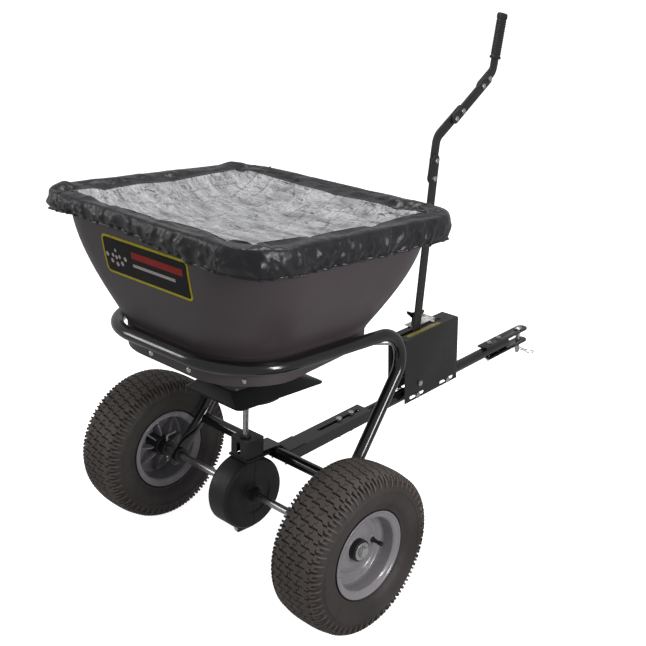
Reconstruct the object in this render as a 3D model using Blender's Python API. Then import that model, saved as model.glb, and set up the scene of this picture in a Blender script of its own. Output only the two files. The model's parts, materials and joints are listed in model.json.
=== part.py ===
"""Tow-behind broadcast spreader: hopper on a bent tube frame, two wheels, gear-driven impeller.

Metres, +Z up, +Y towards the hitch, X across the machine. The origin lies on the ground under the
middle of the machine's box. Everything hangs from empties: "ground_under_axle" for what is level
(drawbar, control box, lever), and "pitched_frame" for what leans forward with the hopper. A
coordinate called "along" runs forward and one called "up" runs upward in the frame that it is
used in.
"""

import math

import bmesh
import bpy
from mathutils import Matrix, Vector

# ---------------------------------------------------------------------------------------- sizes
AXLE_TO_ORIGIN = 0.4102
AXLE_HEIGHT = 0.165
FRAME_PITCH = math.radians(5.0)
GAP = 0.0004
ROUND_SIDES = 12
SHEET = 0.0025

TYRE_RADIUS = AXLE_HEIGHT
TYRE_HALF_WIDTH = 0.0604
WHEEL_X = 0.3036
WHEEL_SIDES = 24
RIM_FLANGE_RADIUS = 0.0894
RIM_HALF_WIDTH = 0.0497
RIM_BARREL_RADIUS = 0.0768
RIM_WALL = 0.003
RIM_WEB_OFFSET = 0.006
HUB_TUBE_RADIUS = 0.0215
HUB_BORE_RADIUS = 0.0128
HUB_OUTER_END = 0.0275
HUB_INNER_END = -0.0300
DRIVE_COLLAR_END = -0.0460
DRIVE_PIN_RADIUS = 0.0025
DRIVE_PIN_OFFSET = -0.0400

AXLE_RADIUS = 0.008
AXLE_HALF_LENGTH = WHEEL_X + HUB_OUTER_END
AXLE_TAP_RADIUS = 0.0055
AXLE_TAP_DEPTH = 0.025
HUB_BOLT_SHANK = 0.005
HUB_WASHER_RADIUS = 0.018
HUB_WASHER_THICKNESS = 0.002

TUBE_RADIUS = 0.0127
RING_HALF_WIDTH = 0.222
RING_HEIGHT = 0.368
RING_REAR = -0.2145
RING_CORNER_RADIUS = 0.140
FRONT_BEND = (0.264, RING_HEIGHT)
FRONT_BEND_RADIUS = 0.062
LEG_KINK = (0.078, 0.087)
LEG_KINK_RADIUS = 0.060
TAIL_END = (-0.0183, -0.0197)
TAIL_HALF_THICKNESS = 0.004
TAIL_HALF_WIDTH = 0.019
TAIL_FLAT_LENGTH = 0.050
TAIL_TAPER_LENGTH = 0.050
BUSHING_RADIUS = 0.0122
BUSHING_FLANGE_RADIUS = 0.0165

CROSS_TUBE_ALONG = 0.0691
CROSS_TUBE_UP = 0.0703
CROSS_TUBE_BORE = 0.0112
CROSS_TUBE_PLUG = 0.008
CROSS_BOLT_RADIUS = 0.004
BOLT_CLEARANCE = 0.0005

HOPPER_RIM = (0.300, 0.252)
HOPPER_RIM_CORNER = 0.125
HOPPER_BASE = (0.2085, 0.2010)
HOPPER_BASE_CORNER = 0.127
HOPPER_RIM_HEIGHT = 0.612
HOPPER_BASE_HEIGHT = 0.384
HOPPER_LIP = 0.008
HOPPER_LIP_CORNER = 0.075
HOPPER_LIP_HEIGHT = 0.008
HOPPER_WALL = 0.0035
HOPPER_SIDE_STEPS = 5
SKIRT_BOTTOM_HEIGHT = 0.326
SKIRT_SHRINK = 0.004
SKIRT_CLIMB = (-0.080, 0.115)
SKIRT_CLIMB_HEIGHT = 0.023
FLOOR_EDGE_HEIGHT = 0.354
OUTLET_HALF = 0.045
OUTLET_HEIGHT = 0.288

COVER_GAP = 0.0030
COVER_THICKNESS = 0.0018
COVER_HEM_HEIGHT = 0.565
COVER_HEM_TUCK = 0.0022
COVER_CREST_HEIGHT = 0.6250
COVER_WINDOW = (0.268, 0.226)
COVER_WINDOW_CORNER = 0.040
COVER_SHOULDER = 0.010

HOOD_CENTRE = 0.023
HOOD_RIM = (0.086, 0.117)
HOOD_RIM_HEIGHT = 0.232
HOOD_TOP = (0.050, 0.075)
HOOD_TOP_HEIGHT = 0.257
HOOD_COLLAR_HEIGHT = 0.2685
HOOD_WALL = 0.003
HOOD_CORNER = 0.010

GUIDE_HALF_WIDTH = 0.062
GUIDE_HALF_LENGTH = 0.085
GUIDE_BOTTOM = HOOD_COLLAR_HEIGHT + GAP
GUIDE_TOP = OUTLET_HEIGHT - GAP
GUIDE_PORT_RADIUS = 0.042
SHUTTER_HALF_WIDTH = 0.050
SHUTTER_REAR = -0.090
SHUTTER_FRONT = 0.126
SHUTTER_BOTTOM = 0.2790
SHUTTER_THICKNESS = 0.003
SHUTTER_TRACK_GAP = 0.0015
SHUTTER_PORT_HALF = 0.028
SHUTTER_SHAFT_SLOT = 0.0085
ROD_RADIUS = 0.003
ROD_SIDE_STEP = 0.009

SHAFT_RADIUS = 0.006
SHAFT_BOTTOM = 0.040
SHAFT_TOP = 0.335
AGITATOR_HEIGHT = 0.322
AGITATOR_RADIUS = 0.003
AGITATOR_HALF_LENGTH = 0.040
IMPELLER_RADIUS = 0.074
IMPELLER_BOTTOM = 0.222
IMPELLER_DISC = 0.003
IMPELLER_VANE_TOP = 0.236
IMPELLER_VANES = 6
IMPELLER_HUB_RADIUS = 0.012

PINION_TEETH = 6
GEAR_RATIO = 4
RING_GEAR_PITCH_RADIUS = 0.060
GEAR_FACE_SHARE = 0.74
TOOTH_ADDENDUM = 0.0026
TOOTH_DEDENDUM = 0.0034
TOOTH_TIP_SHARE = 0.30
TOOTH_ROOT_SHARE = 0.50
RING_GEAR_BACK = 0.0240
GEAR_BORE_GAP = 0.0004

HOUSING_RADIUS = 0.078
HOUSING_HALF_THICKNESS = 0.029
HOUSING_WALL = 0.0035
HOUSING_COLLAR_RADIUS = 0.016
HOUSING_COLLAR_END = 0.040
HOUSING_BOSS_RADIUS = 0.010
HOUSING_BOSS_HALF_LENGTH = 0.020
HOUSING_BUSHING_RADIUS = 0.0112
BRACKET_FLANGE = (0.030, 0.0335)
BRACKET_FLANGE_CENTRE = 0.0115
BRACKET_TOWER = (0.0265, 0.0245)
BRACKET_TOWER_CENTRE = 0.0055
BRACKET_BOTTOM = 0.0784
BRACKET_TOP = 0.121
SHAFT_BUSHING_RADIUS = 0.0082

DRAWBAR_RADIUS = 0.014
DRAWBAR_BORE = 0.0118
DRAWBAR_HEIGHT = 0.197
DRAWBAR_REAR = 0.265
DRAWBAR_FRONT = 0.945
CHANNEL_HALF_WIDTH = 0.0225
CHANNEL_TOP = 0.2150
CHANNEL_BOTTOM = 0.189
CHANNEL_REAR = 0.098
CHANNEL_FRONT = 0.372
CHANNEL_SLOT = (0.222, 0.352)
CHANNEL_BOLTS = (0.287, 0.327)
SLOT_HALF_WIDTH = 0.0045
STRAP_THICKNESS = 0.003

HITCH_STRAP_THICKNESS = 0.005
HITCH_STRAP_HALF_WIDTH = 0.016
HITCH_STRAP_FRONT = 1.034
HITCH_TOP_STRAP_REAR = 0.836
HITCH_BOTTOM_STRAP_REAR = 0.852
HITCH_BOLTS = (0.866, 0.909)
HITCH_PIN_ALONG = 1.003
HITCH_PIN_RADIUS = 0.006
HITCH_PIN_HEAD_RADIUS = 0.011
HITCH_PIN_TIP = 0.146
CLIP_HEIGHT = 0.158
CLIP_WIRE_RADIUS = 0.0014
CLIP_HOLE_RADIUS = 0.0019

BOX_HALF_WIDTH = 0.027
BOX_REAR = 0.487
BOX_FRONT = 0.690
BOX_BOTTOM = 0.187
BOX_TOP = 0.354
BOX_SHEET = 0.0018
BOX_BOLTS = (0.532, 0.648)
BOX_SLOT_HALF_LENGTH = 0.027
LEVER_SLOT = (0.502, 0.650)
STOP_SLOT = (0.548, 0.650)
STOP_SLOT_X = -0.018

LEVER_PIVOT = (0.540, 0.226)
LEVER_BAR_HALF_WIDTH = 0.0125
LEVER_BAR_THICKNESS = 0.005
LEVER_LAP = 0.014
LEVER_JOINT_A = ((0.611, 0.712), (0.618, 0.752))
LEVER_JOINT_B = ((0.688, 0.838), (0.712, 0.852))
LEVER_JOINT_C = ((0.788, 0.899), (0.812, 0.913))
LEVER_MIDDLE_BEND = (0.628, 0.803)
LEVER_HANDLE_BEND = (0.836, 0.928)
LEVER_TOP = (0.862, 1.040)
LEVER_MIDDLE_BEND_RADIUS = 0.030
LEVER_HANDLE_BEND_RADIUS = 0.025
GRIP_LENGTH = 0.100
GRIP_WALL = 0.0035
ROD_ARM = 0.094

STOP_REAR = 0.557
STOP_FRONT = 0.6235
STOP_SIDES = (-0.036, 0.006)
STOP_SHEET = 0.0018
STOP_UPRIGHT = 0.012
KNOB_ALONG = 0.577
KNOB_RADIUS = 0.010
KNOB_BODY_TOP = 0.382
KNOB_TOP = 0.392
KNOB_WING_HALF_SPAN = 0.0225
KNOB_WING_HALF_THICKNESS = 0.003
KNOB_TURN = math.radians(-32.0)

ZINC = ((0.62, 0.63, 0.64), 1.0, 0.35)
BRIGHT_STEEL = ((0.55, 0.56, 0.57), 1.0, 0.25)
GLOSS_BLACK = ((0.012, 0.012, 0.013), 0.0, 0.22)
SATIN_BLACK = ((0.020, 0.020, 0.021), 0.0, 0.55)
HOPPER_BLACK = ((0.030, 0.029, 0.030), 0.0, 0.45)
RUBBER = ((0.035, 0.032, 0.029), 0.0, 0.85)
RIM_GREY = ((0.13, 0.13, 0.135), 0.1, 0.45)
NYLON = ((0.018, 0.018, 0.020), 0.0, 0.70)
CLEAR_GREY = ((0.45, 0.45, 0.46), 0.0, 0.35)


# ------------------------------------------------------------------------------------- outlines
def circle(radius, height, sides=ROUND_SIDES, centre=(0.0, 0.0)):
    """A ring of points about the local Z axis."""
    turns = [2 * math.pi * (k + 0.5) / sides for k in range(sides)]
    return [
        Vector((centre[0] + radius * math.cos(a), centre[1] + radius * math.sin(a), height))
        for a in turns
    ]


def hexagon(across_flats, height, sides=ROUND_SIDES):
    """A hexagon with as many points as a circle, so that the two can be lofted together."""
    half = across_flats / 2
    sector = math.pi / 3
    points = []
    for k in range(sides):
        angle = 2 * math.pi * (k + 0.5) / sides
        from_flat = (angle + sector / 2) % sector - sector / 2
        reach = half / math.cos(from_flat)
        points.append(Vector((reach * math.cos(angle), reach * math.sin(angle), height)))
    return points


def rounded_rectangle(half_size, corner, height, centre_along=0.0, steps=4):
    """A rectangle with round corners, centred on the local Z axis or shifted along Y."""
    half_x, half_y = half_size
    corner = min(corner, half_x - 1e-4, half_y - 1e-4)
    points = []
    for quarter in range(4):
        start = quarter * math.pi / 2
        side_x = 1 if quarter in (0, 3) else -1
        side_y = 1 if quarter in (0, 1) else -1
        for k in range(steps + 1):
            angle = start + k / steps * math.pi / 2
            x = side_x * (half_x - corner) + corner * math.cos(angle)
            y = side_y * (half_y - corner) + corner * math.sin(angle)
            points.append(Vector((x, y + centre_along, height)))
    return points


def stadium(start, end, half_width, steps=5):
    """A slot's outline: two straight sides and two half circles, from point to point."""
    start, end = Vector(start), Vector(end)
    along = (end - start).normalized()
    across = Vector((-along.y, along.x))
    points = []
    for centre, facing in ((end, 1), (start, -1)):
        for k in range(steps + 1):
            angle = -math.pi / 2 + math.pi * k / steps
            step = facing * (along * math.cos(angle) + across * math.sin(angle))
            points.append(centre + half_width * step)
    return points


def rounded_path(corners, radii, degrees_per_step=15):
    """The corners joined by straight runs, each inner corner turned into an arc of its radius."""
    corners = [Vector(c) for c in corners]
    path = [corners[0]]
    for before, corner, after, radius in zip(corners, corners[1:], corners[2:], radii):
        back = (before - corner).normalized()
        ahead = (after - corner).normalized()
        inside = back.angle(ahead)
        turn = math.pi - inside
        reach = radius / math.tan(inside / 2)
        to_centre = (back + ahead).normalized()
        centre = corner + to_centre * (radius / math.sin(inside / 2))
        start = corner + back * reach - centre
        steps = max(1, round(math.degrees(turn) / degrees_per_step))
        side = -back * radius
        for k in range(steps + 1):
            angle = turn * k / steps
            path.append(centre + start * math.cos(angle) + side * math.sin(angle))
    path.append(corners[-1])
    return path


def bar_outline(path, half_width, end_steps=4):
    """The outline of a flat bar with round ends whose middle line is the given flat path."""
    path = [Vector(p) for p in path]
    left, right = [], []
    for k, point in enumerate(path):
        before = path[max(k - 1, 0)]
        after = path[min(k + 1, len(path) - 1)]
        along = (after - before).normalized()
        across = Vector((-along.y, along.x)) * half_width
        left.append(point + across)
        right.append(point - across)
    caps = []
    for point, neighbour in ((path[-1], path[-2]), (path[0], path[1])):
        along = (point - neighbour).normalized()
        across = Vector((along.y, -along.x))
        cap = []
        for k in range(1, end_steps):
            angle = math.pi * k / end_steps
            cap.append(point + half_width * (across * math.cos(angle) + along * math.sin(angle)))
        caps.append(cap)
    return right + caps[0] + left[::-1] + caps[1]


# --------------------------------------------------------------------------------------- shapes
def loft(rings, closed):
    """A skin over rings of equal length: closed joins the last to the first, else both are capped."""
    mesh = bmesh.new()
    rows = [[mesh.verts.new(point) for point in ring] for ring in rings]
    pairs = list(zip(rows, rows[1:]))
    if closed:
        pairs.append((rows[-1], rows[0]))
    else:
        mesh.faces.new(rows[0][::-1])
        mesh.faces.new(rows[-1])
    count = len(rows[0])
    for row, following in pairs:
        for k in range(count):
            n = (k + 1) % count
            mesh.faces.new((row[k], row[n], following[n], following[k]))
    return mesh


def turned(profile, closed, sides=ROUND_SIDES):
    """A body of revolution about local Z from (radius, height) points."""
    return loft([circle(radius, height, sides) for radius, height in profile], closed)


def box(low, high):
    """A block between two opposite corners."""
    middle = (Vector(low) + Vector(high)) / 2
    size = Vector(high) - Vector(low)
    mesh = bmesh.new()
    place = Matrix.Translation(middle) @ Matrix.Diagonal((*size, 1.0))
    bmesh.ops.create_cube(mesh, size=1.0, matrix=place)
    return mesh


def plate(outline, holes, low, high):
    """A flat piece in local XY with holes, from one height to the other."""
    mesh = bmesh.new()
    edges = []
    for loop in [outline, *holes]:
        verts = [mesh.verts.new((point[0], point[1], low)) for point in loop]
        edges += [mesh.edges.new((a, b)) for a, b in zip(verts, verts[1:] + verts[:1])]
    bmesh.ops.triangle_fill(mesh, use_beauty=True, use_dissolve=False, edges=edges)
    grown = bmesh.ops.extrude_face_region(mesh, geom=mesh.faces[:])
    moved = [item for item in grown["geom"] if isinstance(item, bmesh.types.BMVert)]
    bmesh.ops.translate(mesh, verts=moved, vec=(0, 0, high - low))
    return mesh


def sweep(path, section, start_side, sides=10):
    """A tube along a path. section(distance, length) gives its radii (beside, across) there."""
    path = [Vector(p) for p in path]
    distances = [0.0]
    for a, b in zip(path, path[1:]):
        distances.append(distances[-1] + (b - a).length)
    side = Vector(start_side)
    rings = []
    for k, point in enumerate(path):
        before = (point - path[k - 1]).normalized() if k else None
        after = (path[k + 1] - point).normalized() if k + 1 < len(path) else None
        tangent = ((before or after) + (after or before)).normalized()
        side = (side - side.project(tangent)).normalized()
        across = tangent.cross(side)
        beside_radius, across_radius = section(distances[k], distances[-1])
        ring = []
        for n in range(sides):
            angle = 2 * math.pi * (n + 0.5) / sides
            offset = side * beside_radius * math.cos(angle) + across * across_radius * math.sin(angle)
            ring.append(point + offset)
        rings.append(ring)
    return loft(rings, closed=False)


def with_points_at(path, distances):
    """The path with more points on it, at these distances from its start."""
    result = [path[0]]
    travelled = 0.0
    for a, b in zip(path, path[1:]):
        length = (b - a).length
        inside = [d - travelled for d in distances if travelled < d < travelled + length]
        result += [a.lerp(b, step / length) for step in sorted(inside)]
        result.append(b)
        travelled += length
    return result


# -------------------------------------------------------------------------------------- objects
def finish_of(name, look):
    """The material of one finish, made once."""
    existing = bpy.data.materials.get(name)
    if existing:
        return existing
    colour, metallic, roughness = look
    material = bpy.data.materials.new(name)
    material.use_nodes = True
    shader = material.node_tree.nodes["Principled BSDF"]
    shader.inputs["Base Color"].default_value = (*colour, 1.0)
    shader.inputs["Metallic"].default_value = metallic
    shader.inputs["Roughness"].default_value = roughness
    return material


def empty(name, parent=None, location=(0, 0, 0), rotation=(0, 0, 0)):
    """An empty that other pieces hang from."""
    holder = bpy.data.objects.new(name, None)
    bpy.context.scene.collection.objects.link(holder)
    holder.parent = parent
    holder.location = location
    holder.rotation_euler = rotation
    return holder


def add(name, mesh, look, parent, location=(0, 0, 0), rotation=(0, 0, 0)):
    """A named piece made from a bmesh, with its own finish, placed under its parent."""
    bmesh.ops.recalc_face_normals(mesh, faces=mesh.faces)
    data = bpy.data.meshes.new(name)
    mesh.to_mesh(data)
    mesh.free()
    data.shade_smooth()
    data.set_sharp_from_angle(angle=math.radians(35))
    data.materials.append(finish_of(f"{name}_finish", look))
    piece = bpy.data.objects.new(name, data)
    bpy.context.scene.collection.objects.link(piece)
    piece.parent = parent
    piece.location = location
    piece.rotation_euler = rotation
    return piece


def combine(piece, mesh, operation, parent=None, location=(0, 0, 0), rotation=(0, 0, 0)):
    """Adds a hidden tool shape and a Boolean with it. The tool sits in the piece's own frame."""
    name = f"tool_{piece.name}_{len(piece.modifiers)}"
    tool = add(name, mesh, SATIN_BLACK, parent or piece, location, rotation)
    tool.hide_render = True
    tool.display_type = "WIRE"
    cut = piece.modifiers.new(name, "BOOLEAN")
    cut.operation = operation
    cut.object = tool


ALONG_X = (0, math.pi / 2, 0)
ALONG_MINUS_X = (0, -math.pi / 2, 0)
ALONG_Y = (-math.pi / 2, 0, 0)
# Turns a flat outline drawn as (along, up) so that it stands in the YZ plane, thickness along X.
UPRIGHT = (math.pi / 2, 0, math.pi / 2)


def hex_bolt(across_flats, head, shank_radius, grip, nut):
    """A bolt with its nut: grip is the clear length between head and nut, up local Z."""
    rings = [
        hexagon(across_flats * 0.86, grip + head),
        hexagon(across_flats, grip + head * 0.8),
        hexagon(across_flats, grip),
        circle(shank_radius, grip),
    ]
    if nut:
        rings += [circle(shank_radius, 0), hexagon(across_flats, 0), hexagon(across_flats, -nut)]
        rings += [circle(shank_radius, -nut), circle(shank_radius, -nut - shank_radius)]
    else:
        rings.append(circle(shank_radius, 0))
    return loft(rings, closed=False)


def rod_between(radius, half_length, sides=ROUND_SIDES):
    """A plain cylinder centred on its origin, along local Z."""
    return turned([(radius, -half_length), (radius, half_length)], closed=False, sides=sides)


# --------------------------------------------------------------------------------------- wheels
def tyre_mesh():
    """A turf tyre: a flat tread, round shoulders, bulged sidewalls and beads inside the rim."""
    half = TYRE_HALF_WIDTH
    outer = [
        (0.0778, 0.0445),
        (0.0930, 0.0460),
        (0.1090, 0.0575),
        (0.1350, half),
        (0.1590, 0.0490),
        (TYRE_RADIUS, 0.0220),
    ]
    inner = [(0.1570, 0.0200), (0.1480, 0.0420), (0.1090, 0.0500), (0.0778, 0.0370)]
    mirrored_outer = [(r, -z) for r, z in reversed(outer)]
    mirrored_inner = [(r, -z) for r, z in reversed(inner)]
    return turned(outer + mirrored_outer + mirrored_inner + inner, True, WHEEL_SIDES)


def rim_mesh():
    """A dished rim: two flanges, a barrel, a web set towards the outside and a hub tube."""
    inside = RIM_BARREL_RADIUS - RIM_WALL
    flange_foot = RIM_HALF_WIDTH - RIM_WALL
    web = RIM_WEB_OFFSET
    profile = [
        (RIM_FLANGE_RADIUS, RIM_HALF_WIDTH),
        (RIM_FLANGE_RADIUS, flange_foot),
        (RIM_BARREL_RADIUS, flange_foot - 0.001),
        (RIM_BARREL_RADIUS, -flange_foot + 0.001),
        (RIM_FLANGE_RADIUS, -flange_foot),
        (RIM_FLANGE_RADIUS, -RIM_HALF_WIDTH),
        (inside, -flange_foot),
        (inside, web - RIM_WALL),
        (HUB_TUBE_RADIUS, web + 0.004),
        (HUB_TUBE_RADIUS, HUB_INNER_END),
        (HUB_BORE_RADIUS, HUB_INNER_END),
        (HUB_BORE_RADIUS, HUB_OUTER_END),
        (HUB_TUBE_RADIUS, HUB_OUTER_END),
        (HUB_TUBE_RADIUS, web + RIM_WALL + 0.004),
        (inside, web + 0.001),
        (inside, flange_foot),
    ]
    return turned(profile, True, WHEEL_SIDES)


def hub_mesh(inner_end):
    """The bush in the hub tube, flanged or carried on as a collar on the inner side."""
    bore = AXLE_RADIUS + GAP
    collar = HUB_TUBE_RADIUS - 0.004
    profile = [
        (bore, inner_end),
        (collar, inner_end),
        (collar, HUB_INNER_END - GAP),
        (HUB_BORE_RADIUS - GAP, HUB_INNER_END - GAP),
        (HUB_BORE_RADIUS - GAP, HUB_OUTER_END),
        (bore, HUB_OUTER_END),
    ]
    return turned(profile, closed=True)


def valve_mesh():
    """A short valve stem with its cap."""
    profile = [(0.0040, 0.0), (0.0040, 0.012), (0.0030, 0.013), (0.0030, 0.016), (0.0046, 0.017)]
    profile += [(0.0046, 0.025), (0.0036, 0.027)]
    return turned(profile, closed=False, sides=8)


def add_wheel(side, parent, outward):
    """Tyre, rim, bush and valve on one end of the axle; outward points local Z away from the frame."""
    sign = 1 if side == "right" else -1
    centre = (sign * WHEEL_X, 0, 0)
    add(f"tyre_{side}", tyre_mesh(), RUBBER, parent, centre, outward)
    add(f"rim_{side}", rim_mesh(), RIM_GREY, parent, centre, outward)
    inner_end = DRIVE_COLLAR_END if side == "left" else HUB_INNER_END - 0.004
    hub = add(f"hub_{side}", hub_mesh(inner_end), SATIN_BLACK, parent, centre, outward)
    valve_radius = 0.047
    valve_seat = RIM_WEB_OFFSET + RIM_WALL + 0.0036
    valve_x = sign * (WHEEL_X + valve_seat)
    add(f"valve_stem_{side}", valve_mesh(), RUBBER, parent, (valve_x, valve_radius, 0), outward)
    return hub


def add_axle_ends(parent):
    """The washer and bolt that hold each wheel on the axle."""
    washer_face = AXLE_HALF_LENGTH + GAP
    head_face = washer_face + HUB_WASHER_THICKNESS + GAP
    washer = [(HUB_BOLT_SHANK + GAP, 0), (HUB_WASHER_RADIUS, 0)]
    washer += [(r, HUB_WASHER_THICKNESS) for r, _ in reversed(washer)]
    for side, sign, outward in (("left", -1, ALONG_MINUS_X), ("right", 1, ALONG_X)):
        place = (sign * washer_face, 0, 0)
        add(f"hub_washer_{side}", turned(washer, True, 20), ZINC, parent, place, outward)
        shank = head_face - AXLE_HALF_LENGTH + AXLE_TAP_DEPTH - 0.003
        bolt = hex_bolt(0.019, 0.0075, HUB_BOLT_SHANK, shank, nut=0)
        place = (sign * (head_face - shank), 0, 0)
        add(f"hub_bolt_{side}", bolt, ZINC, parent, place, outward)


def add_axle(parent, hub_left):
    """The live axle, tapped at both ends, and the pin that drives the left hub."""
    end = AXLE_HALF_LENGTH
    tap_end = end - AXLE_TAP_DEPTH
    profile = [(AXLE_TAP_RADIUS, -tap_end), (AXLE_TAP_RADIUS, -end), (AXLE_RADIUS, -end)]
    profile += [(r, -z) for r, z in reversed(profile)]
    axle = add("axle", turned(profile, False, 16), BRIGHT_STEEL, parent, rotation=ALONG_X)
    pin_x = -(WHEEL_X + DRIVE_PIN_OFFSET)
    hole = DRIVE_PIN_RADIUS + BOLT_CLEARANCE
    for piece in (axle, hub_left):
        combine(piece, rod_between(hole, 0.03), "DIFFERENCE", parent, (pin_x, 0, 0))
    path = [(0, 0, -0.024), (0, 0, 0.030), (0, 0.026, 0.034)]
    bent = sweep(rounded_path(path, [0.005], 30), lambda d, n: (DRIVE_PIN_RADIUS,) * 2, (1, 0, 0), 8)
    add("drive_pin", bent, ZINC, parent, (pin_x, 0, 0))


# ---------------------------------------------------------------------------------------- frame
def tail_section(distance, length):
    """Radii of the frame tube: pressed flat at both tails, round between them."""
    from_end = min(distance, length - distance)
    share = (from_end - TAIL_FLAT_LENGTH) / TAIL_TAPER_LENGTH
    share = min(max(share, 0.0), 1.0)
    share = share * share * (3 - 2 * share)
    thickness = TAIL_HALF_THICKNESS + share * (TUBE_RADIUS - TAIL_HALF_THICKNESS)
    width = TAIL_HALF_WIDTH + share * (TUBE_RADIUS - TAIL_HALF_WIDTH)
    return thickness, width


def frame_path():
    """Left tail, leg, front bend, side, round the back, and the same down the right."""
    x = RING_HALF_WIDTH
    left = [
        (-x, *TAIL_END),
        (-x, 0, 0),
        (-x, *LEG_KINK),
        (-x, *FRONT_BEND),
        (-x, RING_REAR, RING_HEIGHT),
    ]
    right = [(-px, along, up) for px, along, up in reversed(left)]
    radii = [0.030, LEG_KINK_RADIUS, FRONT_BEND_RADIUS, RING_CORNER_RADIUS]
    path = rounded_path(left + right, radii + radii[::-1], 18)
    flat_ends = [TAIL_FLAT_LENGTH, TAIL_FLAT_LENGTH + TAIL_TAPER_LENGTH / 2]
    path = with_points_at(path, flat_ends)
    return with_points_at(path[::-1], flat_ends)


def add_frame(pitched):
    """The bent frame tube, the tube across it, their bolts and the axle bushings."""
    frame = add("frame_tube", sweep(frame_path(), tail_section, (1, 0, 0), 8), GLOSS_BLACK, pitched)
    half_span = RING_HALF_WIDTH + 0.03
    axle_hole = rod_between(BUSHING_RADIUS + GAP, half_span)
    combine(frame, axle_hole, "DIFFERENCE", pitched, rotation=ALONG_X)
    cross_place = (0, CROSS_TUBE_ALONG, CROSS_TUBE_UP)
    bolt_hole = rod_between(CROSS_BOLT_RADIUS + BOLT_CLEARANCE, half_span)
    combine(frame, bolt_hole, "DIFFERENCE", pitched, cross_place, ALONG_X)

    end = RING_HALF_WIDTH - TUBE_RADIUS - GAP
    plug_end = end - CROSS_TUBE_PLUG
    plug_bore = CROSS_BOLT_RADIUS + BOLT_CLEARANCE
    profile = [(TUBE_RADIUS, 0), (TUBE_RADIUS, end), (plug_bore, end), (plug_bore, plug_end)]
    profile += [(CROSS_TUBE_BORE, plug_end)]
    profile = [(r, -z) for r, z in reversed(profile[1:])] + profile[1:]
    add("cross_tube", turned(profile, True), GLOSS_BLACK, pitched, cross_place, ALONG_X)

    head_face = RING_HALF_WIDTH + TUBE_RADIUS + GAP
    shank = 0.045
    for side, sign, outward in (("left", -1, ALONG_MINUS_X), ("right", 1, ALONG_X)):
        bolt = hex_bolt(0.013, 0.0035, CROSS_BOLT_RADIUS, shank, nut=0)
        place = (sign * (head_face - shank), CROSS_TUBE_ALONG, CROSS_TUBE_UP)
        add(f"cross_tube_bolt_{side}", bolt, ZINC, pitched, place, outward)
        inner = TAIL_HALF_THICKNESS + GAP
        profile = [
            (AXLE_RADIUS + GAP, inner),
            (BUSHING_RADIUS, inner),
            (BUSHING_RADIUS, -inner),
            (BUSHING_FLANGE_RADIUS, -inner),
            (BUSHING_FLANGE_RADIUS, -inner - 0.006),
            (AXLE_RADIUS + GAP, -inner - 0.006),
        ]
        place = (sign * RING_HALF_WIDTH, 0, 0)
        add(f"axle_bushing_{side}", turned(profile, True), NYLON, pitched, place, outward)


# --------------------------------------------------------------------------------------- hopper
def hopper_ring(height, shrink=0.0):
    """The hopper's outline at a height between base and rim. The sides follow a quarter sine."""
    share = (height - HOPPER_BASE_HEIGHT) / (HOPPER_RIM_HEIGHT - HOPPER_BASE_HEIGHT)
    share = math.sin(math.pi / 2 * min(max(share, 0.0), 1.0))
    half = [b + share * (t - b) - shrink for b, t in zip(HOPPER_BASE, HOPPER_RIM)]
    corner = HOPPER_BASE_CORNER + share * (HOPPER_RIM_CORNER - HOPPER_BASE_CORNER)
    return rounded_rectangle(half, corner, height, steps=5)


def scaled_rectangle(half_size, inset, corner, height, centre_along=0.0, steps=5):
    """A rounded rectangle drawn in on all sides by the inset, which may be negative."""
    half = [size - inset for size in half_size]
    return rounded_rectangle(half, corner, height, centre_along, steps)


def climbing(ring):
    """The skirt's lower edge: level at the back, and higher towards the front."""
    start, end = SKIRT_CLIMB
    for point in ring:
        share = min(max((point.y - start) / (end - start), 0.0), 1.0)
        point.z += share * SKIRT_CLIMB_HEIGHT
    return ring


def add_hopper(pitched):
    """The moulded hopper: lip, curved sides, a skirt below the frame ring and a funnel floor."""
    lip_bottom = HOPPER_RIM_HEIGHT - HOPPER_LIP_HEIGHT
    step = (lip_bottom - HOPPER_BASE_HEIGHT) / HOPPER_SIDE_STEPS
    side_heights = [HOPPER_BASE_HEIGHT + k * step for k in range(HOPPER_SIDE_STEPS + 1)]
    skirt = [half - SKIRT_SHRINK for half in HOPPER_BASE]
    outlet = (OUTLET_HALF, OUTLET_HALF)
    wall = HOPPER_WALL
    corner = HOPPER_BASE_CORNER
    rings = [
        scaled_rectangle(HOPPER_RIM, -HOPPER_LIP, HOPPER_LIP_CORNER, HOPPER_RIM_HEIGHT),
        scaled_rectangle(HOPPER_RIM, -HOPPER_LIP, HOPPER_LIP_CORNER, lip_bottom),
    ]
    rings += [hopper_ring(height) for height in reversed(side_heights)]
    rings += [
        climbing(scaled_rectangle(skirt, 0, corner, SKIRT_BOTTOM_HEIGHT)),
        climbing(scaled_rectangle(skirt, wall, corner - wall, SKIRT_BOTTOM_HEIGHT)),
        scaled_rectangle(skirt, wall, corner - wall, FLOOR_EDGE_HEIGHT),
        scaled_rectangle(outlet, -wall, OUTLET_HALF, OUTLET_HEIGHT + 0.006),
        scaled_rectangle(outlet, -wall, OUTLET_HALF, OUTLET_HEIGHT),
        scaled_rectangle(outlet, 0, OUTLET_HALF, OUTLET_HEIGHT),
        scaled_rectangle(outlet, 0, OUTLET_HALF, OUTLET_HEIGHT + 0.006 + wall),
        scaled_rectangle(skirt, wall, corner - wall, FLOOR_EDGE_HEIGHT + wall),
    ]
    rings += [hopper_ring(height, wall) for height in side_heights]
    rings.append(scaled_rectangle(HOPPER_RIM, wall, HOPPER_RIM_CORNER - wall, HOPPER_RIM_HEIGHT))
    add("hopper", loft(rings, closed=True), HOPPER_BLACK, pitched)


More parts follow.
